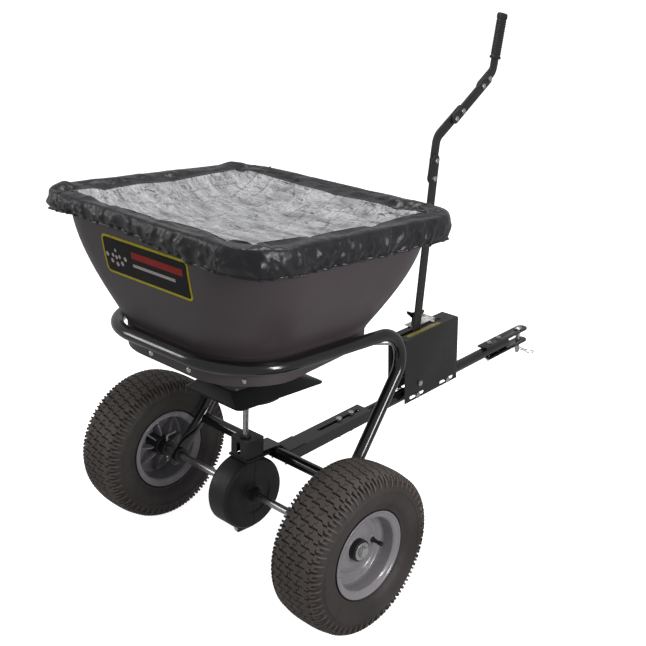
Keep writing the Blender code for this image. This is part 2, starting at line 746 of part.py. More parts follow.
def add_cover(pitched):
    """The elastic rain cover: a fabric band over the rim and a see-through panel on top."""
    cover = empty("rain_cover_lift", pitched)
    inside = [half + HOPPER_LIP + COVER_GAP for half in HOPPER_RIM]
    corner = HOPPER_LIP_CORNER + COVER_GAP
    crest = COVER_CREST_HEIGHT
    below = crest - COVER_THICKNESS
    shoulder = crest - COVER_SHOULDER
    wall = COVER_THICKNESS
    window_corner = COVER_WINDOW_CORNER
    rings = [
        scaled_rectangle(inside, COVER_HEM_TUCK, corner - COVER_HEM_TUCK, COVER_HEM_HEIGHT),
        scaled_rectangle(inside, COVER_HEM_TUCK - wall, corner - COVER_HEM_TUCK, COVER_HEM_HEIGHT),
        scaled_rectangle(inside, -wall, corner, COVER_HEM_HEIGHT + 0.012),
        scaled_rectangle(inside, -wall, corner, shoulder),
        scaled_rectangle(inside, COVER_SHOULDER, corner - COVER_SHOULDER, crest),
        scaled_rectangle(COVER_WINDOW, 0, window_corner, crest),
        scaled_rectangle(COVER_WINDOW, 0, window_corner, below),
        scaled_rectangle(inside, COVER_SHOULDER, corner - COVER_SHOULDER, below),
        scaled_rectangle(inside, 0, corner, shoulder),
        scaled_rectangle(inside, 0, corner, COVER_HEM_HEIGHT + 0.012),
    ]
    add("rain_cover", loft(rings, closed=True), NYLON, cover)
    panel = [
        scaled_rectangle(COVER_WINDOW, GAP, window_corner, below),
        scaled_rectangle(COVER_WINDOW, GAP, window_corner, crest),
    ]
    add("rain_cover_window", loft(panel, closed=False), CLEAR_GREY, cover)


# ------------------------------------------------------------------------------- spreading gear
def add_deflector(pitched):
    """A shallow hood over the impeller, with a collar up to the shutter guide."""
    centre = HOOD_CENTRE
    wall = HOOD_WALL
    rings = [
        scaled_rectangle(HOOD_RIM, 0, HOOD_CORNER, HOOD_RIM_HEIGHT, centre, 2),
        scaled_rectangle(HOOD_TOP, 0, HOOD_CORNER, HOOD_TOP_HEIGHT, 0, 2),
        scaled_rectangle(HOOD_TOP, 0, HOOD_CORNER, HOOD_COLLAR_HEIGHT, 0, 2),
        scaled_rectangle(HOOD_TOP, wall, HOOD_CORNER, HOOD_COLLAR_HEIGHT, 0, 2),
        scaled_rectangle(HOOD_TOP, wall, HOOD_CORNER, HOOD_TOP_HEIGHT - wall, 0, 2),
        scaled_rectangle(HOOD_RIM, wall, HOOD_CORNER, HOOD_RIM_HEIGHT - wall / 2, centre, 2),
    ]
    add("deflector_hood", loft(rings, closed=True), SATIN_BLACK, pitched)


def add_shutter_guide(pitched):
    """The track under the outlet that the shutter slides in."""
    half_width, half_length = GUIDE_HALF_WIDTH, GUIDE_HALF_LENGTH
    guide = add(
        "shutter_guide",
        box((-half_width, -half_length, GUIDE_BOTTOM), (half_width, half_length, GUIDE_TOP)),
        SATIN_BLACK,
        pitched,
    )
    track = SHUTTER_HALF_WIDTH + SHUTTER_TRACK_GAP
    low = SHUTTER_BOTTOM - SHUTTER_TRACK_GAP
    high = SHUTTER_BOTTOM + SHUTTER_THICKNESS + SHUTTER_TRACK_GAP
    reach = half_length + 0.01
    combine(guide, box((-track, -reach, low), (track, reach, high)), "DIFFERENCE")
    ends = (GUIDE_BOTTOM - 0.01, GUIDE_TOP + 0.01)
    port = turned([(GUIDE_PORT_RADIUS, height) for height in ends], False, 16)
    combine(guide, port, "DIFFERENCE")


def add_shutter(pitched):
    """The sliding plate with its keyhole port, and the rod that the lever moves it by."""
    slide = empty("shutter_slide", pitched)
    half = SHUTTER_HALF_WIDTH
    outline = [(-half, SHUTTER_REAR), (half, SHUTTER_REAR), (half, 0.080), (0.014, 0.098)]
    outline += [(0.014, SHUTTER_FRONT), (-0.014, SHUTTER_FRONT), (-0.014, 0.098), (-half, 0.080)]
    slot, port = SHUTTER_SHAFT_SLOT, SHUTTER_PORT_HALF
    keyhole = [(-slot, 0.040), (slot, 0.040), (slot, -0.012), (port, -0.012), (port, -0.068)]
    keyhole += [(-port, -0.068), (-port, -0.012), (-slot, -0.012)]
    rod_hole = [point.xy for point in circle(ROD_RADIUS + 0.001, 0, 8, (0, SHUTTER_FRONT - 0.007))]
    top = SHUTTER_BOTTOM + SHUTTER_THICKNESS
    mesh = plate(outline, [keyhole, rod_hole], SHUTTER_BOTTOM, top)
    add("shutter_plate", mesh, SATIN_BLACK, slide)

    rear_along, rear_up = SHUTTER_FRONT - 0.007, SHUTTER_BOTTOM
    lean = math.atan2(LEVER_JOINT_A[0][0] - LEVER_PIVOT[0], LEVER_JOINT_A[0][1] - LEVER_PIVOT[1])
    eye_along = LEVER_PIVOT[0] + ROD_ARM * math.sin(lean)
    eye_height = LEVER_PIVOT[1] + ROD_ARM * math.cos(lean) - AXLE_HEIGHT
    front_along = eye_along * math.cos(FRAME_PITCH) - eye_height * math.sin(FRAME_PITCH)
    front_up = eye_along * math.sin(FRAME_PITCH) + eye_height * math.cos(FRAME_PITCH)
    lever_side = LEVER_BAR_THICKNESS / 2 + 0.0015
    corners = [
        (0, rear_along, rear_up - 0.006),
        (0, rear_along, rear_up + 0.012),
        (ROD_SIDE_STEP, rear_along + 0.060, rear_up + 0.006),
        (ROD_SIDE_STEP + 0.003, front_along, front_up),
        (lever_side, front_along + 0.0005, front_up),
    ]
    path = rounded_path(corners, [0.006, 0.040, 0.003], 30)
    rod = sweep(path, lambda d, n: (ROD_RADIUS,) * 2, (1, 0, 0), 8)
    add("control_rod", rod, ZINC, slide)


def gear_ring(teeth, cone_distance, pitch_angle, height_sign, start_turn):
    """One end of a bevel gear's teeth: four points a tooth, between the root cone and the tip cone."""
    scale = cone_distance / gear_cone_distance()
    points = []
    tooth = 2 * math.pi / teeth
    marks = (
        (-TOOTH_ROOT_SHARE / 2, -TOOTH_DEDENDUM),
        (-TOOTH_TIP_SHARE / 2, TOOTH_ADDENDUM),
        (TOOTH_TIP_SHARE / 2, TOOTH_ADDENDUM),
        (TOOTH_ROOT_SHARE / 2, -TOOTH_DEDENDUM),
    )
    for k in range(teeth):
        for share, rise in marks:
            rise *= scale
            radius = cone_distance * math.sin(pitch_angle) + rise * math.cos(pitch_angle)
            height = cone_distance * math.cos(pitch_angle) - rise * math.sin(pitch_angle)
            angle = start_turn + (k + share) * tooth
            x, y = radius * math.cos(angle), radius * math.sin(angle)
            points.append(Vector((x, y, height * height_sign)))
    return points


def gear_cone_distance():
    """From the point where the two gear axes cross to the outer end of the teeth."""
    return RING_GEAR_PITCH_RADIUS / math.sin(math.atan(GEAR_RATIO))


def even_ring(like, radius, height):
    """A circle with its points at the same angles as another ring's."""
    points = []
    for point in like:
        direction = Vector((point.x, point.y, 0)).normalized() * radius
        points.append(direction + Vector((0, 0, height)))
    return points


def bevel_gear(teeth, pitch_angle, start_turn, bore, back, front):
    """A bevel gear about local Z with its cone's point at the origin."""
    outer = gear_cone_distance()
    inner = outer * GEAR_FACE_SHARE
    big = gear_ring(teeth, outer, pitch_angle, 1, start_turn)
    small = gear_ring(teeth, inner, pitch_angle, 1, start_turn)
    back_radius = outer * math.sin(pitch_angle) - TOOTH_DEDENDUM
    rings = [even_ring(big, bore, back), even_ring(big, back_radius, back), big, small]
    rings.append(even_ring(big, bore, front))
    return loft(rings, closed=True)


def add_ring_gear(axle_axis):
    """The large bevel gear pinned on the axle; a tooth points straight up."""
    teeth = PINION_TEETH * GEAR_RATIO
    pitch_angle = math.atan(GEAR_RATIO)
    front = gear_cone_distance() * GEAR_FACE_SHARE * math.cos(pitch_angle)
    mesh = bevel_gear(teeth, pitch_angle, math.pi, AXLE_RADIUS + GEAR_BORE_GAP, RING_GEAR_BACK, front)
    add("ring_gear", mesh, BRIGHT_STEEL, axle_axis, rotation=ALONG_X)


def add_impeller(impeller_axis):
    """Shaft, pinion, impeller and agitator, which turn together."""
    shaft_profile = [(SHAFT_RADIUS, SHAFT_BOTTOM), (SHAFT_RADIUS, SHAFT_TOP)]
    shaft = add("impeller_shaft", turned(shaft_profile, False), BRIGHT_STEEL, impeller_axis)
    hole = rod_between(AGITATOR_RADIUS + 0.0006, 0.02, 8)
    combine(shaft, hole, "DIFFERENCE", impeller_axis, (0, 0, AGITATOR_HEIGHT), ALONG_X)

    pitch_angle = math.atan(1 / GEAR_RATIO)
    half_tooth = math.pi / PINION_TEETH
    cone = gear_cone_distance()
    back = cone * math.cos(pitch_angle) + 0.005
    front = cone * GEAR_FACE_SHARE * math.cos(pitch_angle) + 0.001
    pinion = bevel_gear(PINION_TEETH, pitch_angle, half_tooth, SHAFT_RADIUS + GEAR_BORE_GAP, back, front)
    add("pinion", pinion, BRIGHT_STEEL, impeller_axis)

    top = IMPELLER_BOTTOM + IMPELLER_DISC
    bore = SHAFT_RADIUS + GAP
    profile = [(bore, IMPELLER_BOTTOM - 0.006), (IMPELLER_HUB_RADIUS, IMPELLER_BOTTOM - 0.006)]
    profile += [(IMPELLER_HUB_RADIUS, IMPELLER_BOTTOM), (IMPELLER_RADIUS, IMPELLER_BOTTOM)]
    profile += [(IMPELLER_RADIUS, top), (IMPELLER_HUB_RADIUS, top)]
    profile += [(IMPELLER_HUB_RADIUS, IMPELLER_VANE_TOP + 0.006), (bore, IMPELLER_VANE_TOP + 0.006)]
    disc = add("impeller", turned(profile, True, 18), SATIN_BLACK, impeller_axis)
    for k in range(IMPELLER_VANES):
        vane = box((0.0105, -0.0012, top - 0.001), (IMPELLER_RADIUS - 0.004, 0.0012, IMPELLER_VANE_TOP))
        turn = (0, 0, 2 * math.pi * (k + 0.25) / IMPELLER_VANES)
        combine(disc, vane, "UNION", impeller_axis, rotation=turn)

    reach = AGITATOR_HALF_LENGTH
    corners = [(-reach, 0, 0.014), (-reach, 0, 0), (reach, 0, 0), (reach, 0, 0.014)]
    path = rounded_path(corners, [0.006, 0.006], 45)
    wire = sweep(path, lambda d, n: (AGITATOR_RADIUS,) * 2, (0, 1, 0), 8)
    add("agitator", wire, ZINC, impeller_axis, (0, 0, AGITATOR_HEIGHT))


def housing_mesh():
    """The whole gearbox housing, hollow, with a collar each side, turned about the axle."""
    inside = HOUSING_RADIUS - HOUSING_WALL
    inner_x = HOUSING_HALF_THICKNESS - HOUSING_WALL
    bore = HOUSING_BUSHING_RADIUS
    right = [
        (HOUSING_RADIUS, HOUSING_HALF_THICKNESS - 0.006),
        (HOUSING_RADIUS - 0.006, HOUSING_HALF_THICKNESS),
        (HOUSING_COLLAR_RADIUS, HOUSING_HALF_THICKNESS),
        (HOUSING_COLLAR_RADIUS, HOUSING_COLLAR_END),
        (bore, HOUSING_COLLAR_END),
        (bore, inner_x),
        (inside, inner_x),
    ]
    left = [(r, -x) for r, x in reversed(right)]
    return turned(right + left, True, 24)


def add_gearbox(pitched):
    """Two housing halves that meet on the plane through the axle, with their bushings."""
    for name, sign in (("rear", -1), ("front", 1)):
        half = add(f"gearbox_housing_{name}", housing_mesh(), SATIN_BLACK, pitched, rotation=ALONG_X)
        boss = rod_between(HOUSING_BOSS_RADIUS, HOUSING_BOSS_HALF_LENGTH)
        combine(half, boss, "UNION", pitched, (0, 0, -HOUSING_RADIUS - 0.002), ALONG_Y)
        shaft_hole = rod_between(SHAFT_RADIUS + 0.0015, 0.02)
        combine(half, shaft_hole, "DIFFERENCE", pitched, (0, 0, HOUSING_RADIUS))
        far = sign * -0.12
        low = (-0.1, min(far, sign * GAP / 2), -0.12)
        high = (0.1, max(far, sign * GAP / 2), 0.12)
        combine(half, box(low, high), "DIFFERENCE", pitched)
    profile = [
        (AXLE_RADIUS + GAP, HOUSING_HALF_THICKNESS - 0.002),
        (HOUSING_BUSHING_RADIUS - GAP, HOUSING_HALF_THICKNESS - 0.002),
        (HOUSING_BUSHING_RADIUS - GAP, HOUSING_COLLAR_END + GAP),
        (HOUSING_COLLAR_RADIUS - 0.002, HOUSING_COLLAR_END + GAP),
        (HOUSING_COLLAR_RADIUS - 0.002, HOUSING_COLLAR_END + 0.003),
        (AXLE_RADIUS + GAP, HOUSING_COLLAR_END + 0.003),
    ]
    for side, outward in (("left", ALONG_MINUS_X), ("right", ALONG_X)):
        add(f"gearbox_bushing_{side}", turned(profile, True), NYLON, pitched, rotation=outward)


def add_gearbox_bracket(pitched):
    """The cap bracket on the gearbox that steadies the shaft, and the shaft's bushing."""
    centre, flange_centre = BRACKET_TOWER_CENTRE, BRACKET_FLANGE_CENTRE
    flange_top = BRACKET_BOTTOM + SHEET
    rings = [
        scaled_rectangle(BRACKET_TOWER, SHEET, 0.002, BRACKET_TOP - SHEET, centre, 1),
        scaled_rectangle(BRACKET_TOWER, SHEET, 0.002, BRACKET_BOTTOM, centre, 1),
        scaled_rectangle(BRACKET_FLANGE, 0, 0.004, BRACKET_BOTTOM, flange_centre, 1),
        scaled_rectangle(BRACKET_FLANGE, 0, 0.004, flange_top, flange_centre, 1),
        scaled_rectangle(BRACKET_TOWER, 0, 0.004, flange_top, centre, 1),
        scaled_rectangle(BRACKET_TOWER, 0, 0.004, BRACKET_TOP, centre, 1),
    ]
    bracket = add("gearbox_bracket", loft(rings, closed=False), SATIN_BLACK, pitched)
    hole = rod_between(SHAFT_BUSHING_RADIUS + GAP, 0.01)
    combine(bracket, hole, "DIFFERENCE", pitched, (0, 0, BRACKET_TOP))
    low, high = BRACKET_BOTTOM + 0.014, BRACKET_TOP - 0.012
    window = [(point.x, point.y, 0) for point in stadium((0, low), (0, high), 0.0055)]
    window_mesh = plate(window, [], -0.01, 0.01)
    rear_face = BRACKET_TOWER_CENTRE - BRACKET_TOWER[1]
    combine(bracket, window_mesh, "DIFFERENCE", pitched, (0, rear_face, 0), (math.pi / 2, 0, 0))
    profile = [
        (SHAFT_RADIUS + GAP, BRACKET_TOP - 0.008),
        (SHAFT_BUSHING_RADIUS, BRACKET_TOP - 0.008),
        (SHAFT_BUSHING_RADIUS, BRACKET_TOP + GAP),
        (SHAFT_BUSHING_RADIUS + 0.003, BRACKET_TOP + GAP),
        (SHAFT_BUSHING_RADIUS + 0.003, BRACKET_TOP + 0.004),
        (SHAFT_RADIUS + GAP, BRACKET_TOP + 0.004),
    ]
    add("shaft_bushing", turned(profile, True), NYLON, pitched)


# -------------------------------------------------------------------------------------- drawbar
def add_drawbar_strap(level):
    """The strap from the gearbox bracket, over the cross tube and down onto the channel."""
    rear_up = BRACKET_BOTTOM + SHEET + GAP
    sin, cos = math.sin(FRAME_PITCH), math.cos(FRAME_PITCH)
    crest_up = CROSS_TUBE_UP + TUBE_RADIUS + GAP
    underside = [
        (0.0310 * cos + crest_up * sin, AXLE_HEIGHT - 0.0310 * sin + max(crest_up, rear_up) * cos),
        (0.0800 * cos + crest_up * sin, AXLE_HEIGHT - 0.0800 * sin + crest_up * cos),
        (0.1110, CHANNEL_TOP + GAP),
        (0.1600, CHANNEL_TOP + GAP),
    ]
    lift = STRAP_THICKNESS
    upper = [(along + 0.45 * lift, up + lift) for along, up in underside]
    upper[0] = (underside[0][0], upper[0][1])
    upper[-1] = (underside[-1][0], upper[-1][1])
    half = CHANNEL_HALF_WIDTH - 0.001
    mesh = plate(underside + upper[::-1], [], -half, half)
    add("drawbar_strap", mesh, GLOSS_BLACK, level, rotation=UPRIGHT)


def add_drawbar(level):
    """The slotted channel behind and the tube that slides in it, joined by two bolts."""
    half, wall = CHANNEL_HALF_WIDTH, SHEET
    outline = [
        (-half, CHANNEL_BOTTOM),
        (-half, CHANNEL_TOP),
        (half, CHANNEL_TOP),
        (half, CHANNEL_BOTTOM),
        (half - wall, CHANNEL_BOTTOM),
        (half - wall, CHANNEL_TOP - wall),
        (-half + wall, CHANNEL_TOP - wall),
        (-half + wall, CHANNEL_BOTTOM),
    ]
    mesh = plate(outline, [], -CHANNEL_FRONT, -CHANNEL_REAR)
    channel = add("drawbar_channel", mesh, GLOSS_BLACK, level, rotation=(math.pi / 2, 0, 0))
    slot = stadium((0, CHANNEL_SLOT[0]), (0, CHANNEL_SLOT[1]), SLOT_HALF_WIDTH)
    slot_mesh = plate(slot, [], CHANNEL_TOP - 2 * wall, CHANNEL_TOP + wall)
    combine(channel, slot_mesh, "DIFFERENCE", level)

    middle = (DRAWBAR_REAR + DRAWBAR_FRONT) / 2
    half_length = (DRAWBAR_FRONT - DRAWBAR_REAR) / 2
    profile = [(DRAWBAR_RADIUS, -half_length), (DRAWBAR_RADIUS, half_length)]
    profile += [(DRAWBAR_BORE, half_length), (DRAWBAR_BORE, -half_length)]
    place = (0, middle, DRAWBAR_HEIGHT)
    tube = add("drawbar_tube", turned(profile, True), GLOSS_BLACK, level, place, ALONG_Y)
    hole = CROSS_BOLT_RADIUS + BOLT_CLEARANCE
    for along in (*CHANNEL_BOLTS, *HITCH_BOLTS):
        combine(tube, rod_between(hole, 0.03, 8), "DIFFERENCE", level, (0, along, DRAWBAR_HEIGHT))
    for along in BOX_BOLTS:
        place = (0, along, DRAWBAR_HEIGHT)
        combine(tube, rod_between(hole, 0.03, 8), "DIFFERENCE", level, place, ALONG_X)

    nut_face = DRAWBAR_HEIGHT - DRAWBAR_RADIUS - GAP
    grip = CHANNEL_TOP + GAP - nut_face
    for name, along in zip(("rear", "front"), CHANNEL_BOLTS):
        bolt = hex_bolt(0.013, 0.0055, CROSS_BOLT_RADIUS, grip, 0.0065)
        add(f"channel_bolt_{name}", bolt, ZINC, level, (0, along, nut_face))


def add_hitch(level):
    """Two straps bolted over and under the tube's end. The tractor's plate goes between them."""
    half = HITCH_STRAP_HALF_WIDTH
    thickness = HITCH_STRAP_THICKNESS
    top_face = DRAWBAR_HEIGHT + DRAWBAR_RADIUS + GAP
    bottom_face = DRAWBAR_HEIGHT - DRAWBAR_RADIUS - GAP - thickness
    front = HITCH_STRAP_FRONT
    rears = (HITCH_TOP_STRAP_REAR, HITCH_BOTTOM_STRAP_REAR)
    for name, rear, low in zip(("top", "bottom"), rears, (top_face, bottom_face)):
        outline = [(-half, rear), (half, rear)]
        nose = front - half
        for k in range(7):
            angle = math.pi * k / 6
            outline.append((half * math.cos(angle), nose + half * math.sin(angle)))
        holes = []
        for along in HITCH_BOLTS:
            holes.append([p.xy for p in circle(CROSS_BOLT_RADIUS + BOLT_CLEARANCE, 0, 8, (0, along))])
        holes.append([p.xy for p in circle(HITCH_PIN_RADIUS + 0.001, 0, 12, (0, HITCH_PIN_ALONG))])
        mesh = plate(outline, holes, low, low + thickness)
        add(f"hitch_strap_{name}", mesh, GLOSS_BLACK, level)
    nut_face = bottom_face - GAP
    grip = top_face + thickness + GAP - nut_face
    for name, along in zip(("rear", "front"), HITCH_BOLTS):
        bolt = hex_bolt(0.013, 0.0055, CROSS_BOLT_RADIUS, grip, 0.0065)
        add(f"hitch_bolt_{name}", bolt, ZINC, level, (0, along, nut_face))


def add_hitch_pin(level):
    """The headed pin through both straps and the spring clip through its lower end."""
    axis = empty("hitch_pin_lift", level, (0, HITCH_PIN_ALONG, 0))
    seat = DRAWBAR_HEIGHT + DRAWBAR_RADIUS + 2 * GAP + HITCH_STRAP_THICKNESS
    head, radius = HITCH_PIN_HEAD_RADIUS, HITCH_PIN_RADIUS
    profile = [(radius - 0.002, HITCH_PIN_TIP), (radius, HITCH_PIN_TIP + 0.003), (radius, seat)]
    profile += [(head, seat), (head, seat + 0.003), (head * 0.6, seat + 0.007)]
    pin = add("hitch_pin", turned(profile, False), ZINC, axis)
    hole = rod_between(CLIP_HOLE_RADIUS, 0.02, 8)
    combine(pin, hole, "DIFFERENCE", axis, (0, 0, CLIP_HEIGHT), ALONG_X)

    clip_axis = empty("hairpin_clip_pull", axis, (0, 0, CLIP_HEIGHT))
    beside = radius + CLIP_WIRE_RADIUS + 0.0012
    bulb_radius = 0.0095
    bulb_x = 0.040
    corners = [Vector((-0.020, 0, 0)), Vector((0.028, 0, 0))]
    for k in range(9):
        angle = math.radians(-125 + 250 * k / 8)
        x = bulb_x + bulb_radius * math.cos(angle)
        corners.append(Vector((x, beside / 2 + bulb_radius * math.sin(angle), 0)))
    corners += [Vector((0.028, beside, 0)), Vector((0.012, beside - 0.001, 0))]
    corners += [Vector((0.005, beside + 0.002, 0)), Vector((-0.005, beside + 0.002, 0))]
    corners += [Vector((-0.012, beside, 0)), Vector((-0.018, beside + 0.003, 0))]
    wire = sweep(corners, lambda d, n: (CLIP_WIRE_RADIUS,) * 2, (0, 0, 1), 6)
    add("hairpin_clip", wire, BRIGHT_STEEL, clip_axis)


# -------------------------------------------------------------------------------- flow control
def add_control_box(level):
    """The folded box astride the drawbar, with slots for the lever, the stop and its own bolts."""
    half, wall = BOX_HALF_WIDTH, BOX_SHEET
    outline = [
        (-half, BOX_BOTTOM),
        (-half, BOX_TOP - 0.003),
        (-half + 0.003, BOX_TOP),
        (half - 0.003, BOX_TOP),
        (half, BOX_TOP - 0.003),
        (half, BOX_BOTTOM),
        (half - wall, BOX_BOTTOM),
        (half - wall, BOX_TOP - 0.003),
        (half - 0.003, BOX_TOP - wall),
        (-half + 0.003, BOX_TOP - wall),
        (-half + wall, BOX_TOP - 0.003),
        (-half + wall, BOX_BOTTOM),
    ]
    mesh = plate(outline, [], -BOX_FRONT, -BOX_REAR)
    control_box = add("control_box", mesh, SATIN_BLACK, level, rotation=(math.pi / 2, 0, 0))
    for x, ends, half_width in ((0, LEVER_SLOT, 0.0055), (STOP_SLOT_X, STOP_SLOT, 0.0038)):
        slot = stadium((x, ends[0] + half_width), (x, ends[1] - half_width), half_width)
        combine(control_box, plate(slot, [], BOX_TOP - 0.01, BOX_TOP + 0.01), "DIFFERENCE", level)
    across = BOX_HALF_WIDTH + 0.01
    for along in BOX_BOLTS:
        reach = BOX_SLOT_HALF_LENGTH - SLOT_HALF_WIDTH
        ends = (along - reach, DRAWBAR_HEIGHT), (along + reach, DRAWBAR_HEIGHT)
        slot_mesh = plate(stadium(*ends, SLOT_HALF_WIDTH, 3), [], -across, across)
        combine(control_box, slot_mesh, "DIFFERENCE", level, rotation=UPRIGHT)
    pivot_hole = rod_between(CROSS_BOLT_RADIUS + BOLT_CLEARANCE, across, 8)
    combine(control_box, pivot_hole, "DIFFERENCE", level, (0, *LEVER_PIVOT), ALONG_X)

    bolts = [("box_bolt_rear", BOX_BOLTS[0], DRAWBAR_HEIGHT)]
    bolts += [("box_bolt_front", BOX_BOLTS[1], DRAWBAR_HEIGHT), ("lever_pivot_bolt", *LEVER_PIVOT)]
    grip = 2 * (BOX_HALF_WIDTH + GAP)
    for name, along, up in bolts:
        bolt = hex_bolt(0.013, 0.0055, CROSS_BOLT_RADIUS, grip, 0.0065)
        add(name, bolt, ZINC, level, (-grip / 2, along, up), ALONG_X)


def lever_bar(path, holes=()):
    """A flat lever bar drawn about the lever's pivot as (along, up)."""
    moved = [Vector(p) - Vector(LEVER_PIVOT) for p in path]
    half = LEVER_BAR_THICKNESS / 2
    return plate(bar_outline(moved, LEVER_BAR_HALF_WIDTH), holes, -half, half)


def beyond(near, far, reach):
    """The point past the far one, on the line from the near one."""
    near, far = Vector(near), Vector(far)
    return far + (far - near).normalized() * reach


def add_lever(level):
    """Four lapped flat bars from the pivot up to the hand grip."""
    axis = empty("lever_swing", level, (0, *LEVER_PIVOT))
    lap_side = (-LEVER_BAR_THICKNESS - GAP, 0, 0)
    first_a, second_a = LEVER_JOINT_A
    first_b, second_b = LEVER_JOINT_B
    first_c, second_c = LEVER_JOINT_C
    pivot_hole = [p.xy for p in circle(CROSS_BOLT_RADIUS + BOLT_CLEARANCE, 0, 8)]
    lower = [LEVER_PIVOT, beyond(first_a, second_a, LEVER_LAP - LEVER_BAR_HALF_WIDTH)]
    add("lever_lower_bar", lever_bar(lower, [pivot_hole]), SATIN_BLACK, axis, rotation=UPRIGHT)

    middle = [first_a, LEVER_MIDDLE_BEND, second_b]
    middle = rounded_path(middle, [LEVER_MIDDLE_BEND_RADIUS], 12)
    add("lever_middle_bar", lever_bar(middle), SATIN_BLACK, axis, lap_side, UPRIGHT)

    add("lever_link_bar", lever_bar([first_b, second_c]), SATIN_BLACK, axis, rotation=UPRIGHT)

    handle = rounded_path([first_c, LEVER_HANDLE_BEND, LEVER_TOP], [LEVER_HANDLE_BEND_RADIUS], 12)
    add("lever_handle_bar", lever_bar(handle), SATIN_BLACK, axis, lap_side, UPRIGHT)
    add_grip(axis, lap_side[0])


def add_grip(axis, side):
    """The moulded grip pushed over the end of the handle bar."""
    direction = Vector(LEVER_TOP) - Vector(LEVER_HANDLE_BEND)
    lean = math.atan2(direction.x, direction.y)
    end = beyond(LEVER_HANDLE_BEND, LEVER_TOP, LEVER_BAR_HALF_WIDTH + GAP) - Vector(LEVER_PIVOT)
    hollow = (LEVER_BAR_THICKNESS / 2 + GAP, LEVER_BAR_HALF_WIDTH + GAP)
    outside = [half + GRIP_WALL for half in hollow]
    waist = [half + GRIP_WALL * 0.6 for half in hollow]
    rings = [
        rounded_rectangle(hollow, 0.001, 0, steps=2),
        rounded_rectangle(hollow, 0.001, -GRIP_LENGTH, steps=2),
        rounded_rectangle(outside, 0.004, -GRIP_LENGTH, steps=2),
        rounded_rectangle(outside, 0.004, -GRIP_LENGTH + 0.006, steps=2),
        rounded_rectangle(waist, 0.004, -GRIP_LENGTH + 0.014, steps=2),
        rounded_rectangle(waist, 0.004, -0.020, steps=2),
        rounded_rectangle(outside, 0.004, -0.010, steps=2),
        rounded_rectangle(waist, 0.004, 0.004, steps=2),
    ]
    place = (side, end.x, end.y)
    add("handle_grip", loft(rings, closed=False), NYLON, axis, place, (-lean, 0, 0))


def add_stop(level):
    """The lever's stop: a bent plate that slides on the box, clamped by a wing knob."""
    slide = empty("stop_slide", level)
    left, right = STOP_SIDES
    seat = BOX_TOP + GAP
    top = seat + STOP_SHEET
    bend = STOP_FRONT - STOP_SHEET
    profile = [(STOP_REAR, seat), (STOP_FRONT, seat), (STOP_FRONT, seat + STOP_UPRIGHT)]
    profile += [(bend, seat + STOP_UPRIGHT), (bend, top), (STOP_REAR, top)]
    stop = add("lever_stop", plate(profile, [], left, right), ZINC, slide, rotation=UPRIGHT)
    lever_room = box((-0.0065, STOP_REAR - 0.01, seat - 0.01), (0.02, bend - 0.004, seat + 0.01))
    combine(stop, lever_room, "DIFFERENCE", slide)
    screw_hole = rod_between(0.0034, 0.01, 8)
    combine(stop, screw_hole, "DIFFERENCE", slide, (STOP_SLOT_X, KNOB_ALONG, seat))

    turn = empty("stop_knob_turn", slide, (STOP_SLOT_X, KNOB_ALONG, 0), (0, 0, KNOB_TURN))
    screw_bottom = BOX_TOP - BOX_SHEET - 0.008
    under = BOX_TOP - BOX_SHEET - GAP
    profile = [(0.0065, screw_bottom + 0.003), (0.0065, under), (0.003, under), (0.003, top + GAP)]
    profile += [(KNOB_RADIUS, top + GAP), (KNOB_RADIUS * 0.75, KNOB_BODY_TOP)]
    knob = add("stop_knob", turned(profile, False), SATIN_BLACK, turn)
    span, thin = KNOB_WING_HALF_SPAN, KNOB_WING_HALF_THICKNESS
    wing = [(-0.006, KNOB_BODY_TOP - 0.012), (0.006, KNOB_BODY_TOP - 0.012)]
    wing += [(span, KNOB_TOP - 0.004), (span - 0.002, KNOB_TOP), (0.008, KNOB_TOP - 0.005)]
    wing += [(-0.008, KNOB_TOP - 0.005), (-span + 0.002, KNOB_TOP), (-span, KNOB_TOP - 0.004)]
    combine(knob, plate(wing, [], -thin, thin), "UNION", turn, rotation=UPRIGHT)


# --------------------------------------------------------------------------------------- build
def build():
    """Clears the scene and puts the machine together."""
    for leftover in list(bpy.data.objects):
        bpy.data.objects.remove(leftover, do_unlink=True)
    level = empty("ground_under_axle", location=(0, -AXLE_TO_ORIGIN, 0))
    pitched = empty("pitched_frame", level, (0, 0, AXLE_HEIGHT), (-FRAME_PITCH, 0, 0))
    axle_axis = empty("axle_spin", pitched)
    right_wheel_axis = empty("right_wheel_spin", axle_axis)
    impeller_axis = empty("impeller_spin", pitched)

    add_frame(pitched)
    add_hopper(pitched)
    add_cover(pitched)
    add_deflector(pitched)
    add_shutter_guide(pitched)
    add_shutter(pitched)
    add_gearbox(pitched)
    add_gearbox_bracket(pitched)
    add_impeller(impeller_axis)

    hub_left = add_wheel("left", axle_axis, ALONG_MINUS_X)
    add_wheel("right", right_wheel_axis, ALONG_X)
    add_axle(axle_axis, hub_left)
    add_axle_ends(axle_axis)
    add_ring_gear(axle_axis)

    add_drawbar_strap(level)
    add_drawbar(level)
    add_hitch(level)
    add_hitch_pin(level)
    add_control_box(level)
    add_lever(level)
    add_stop(level)


build()
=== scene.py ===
"""Looks of the towed garden spreader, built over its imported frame.

Metres, +Z up, +Y towards the hitch, in the frame of the CAD model. Sizes come from the boxes of the
CAD nodes and from the joints; the named values below are details that the nodes don't carry.
"Pitched" means in the frame of the hopper and impeller shaft, which leans forward about the axle.
"""

import json
import math

import bmesh
import bpy
import numpy as np
from mathutils import Matrix, Vector, noise


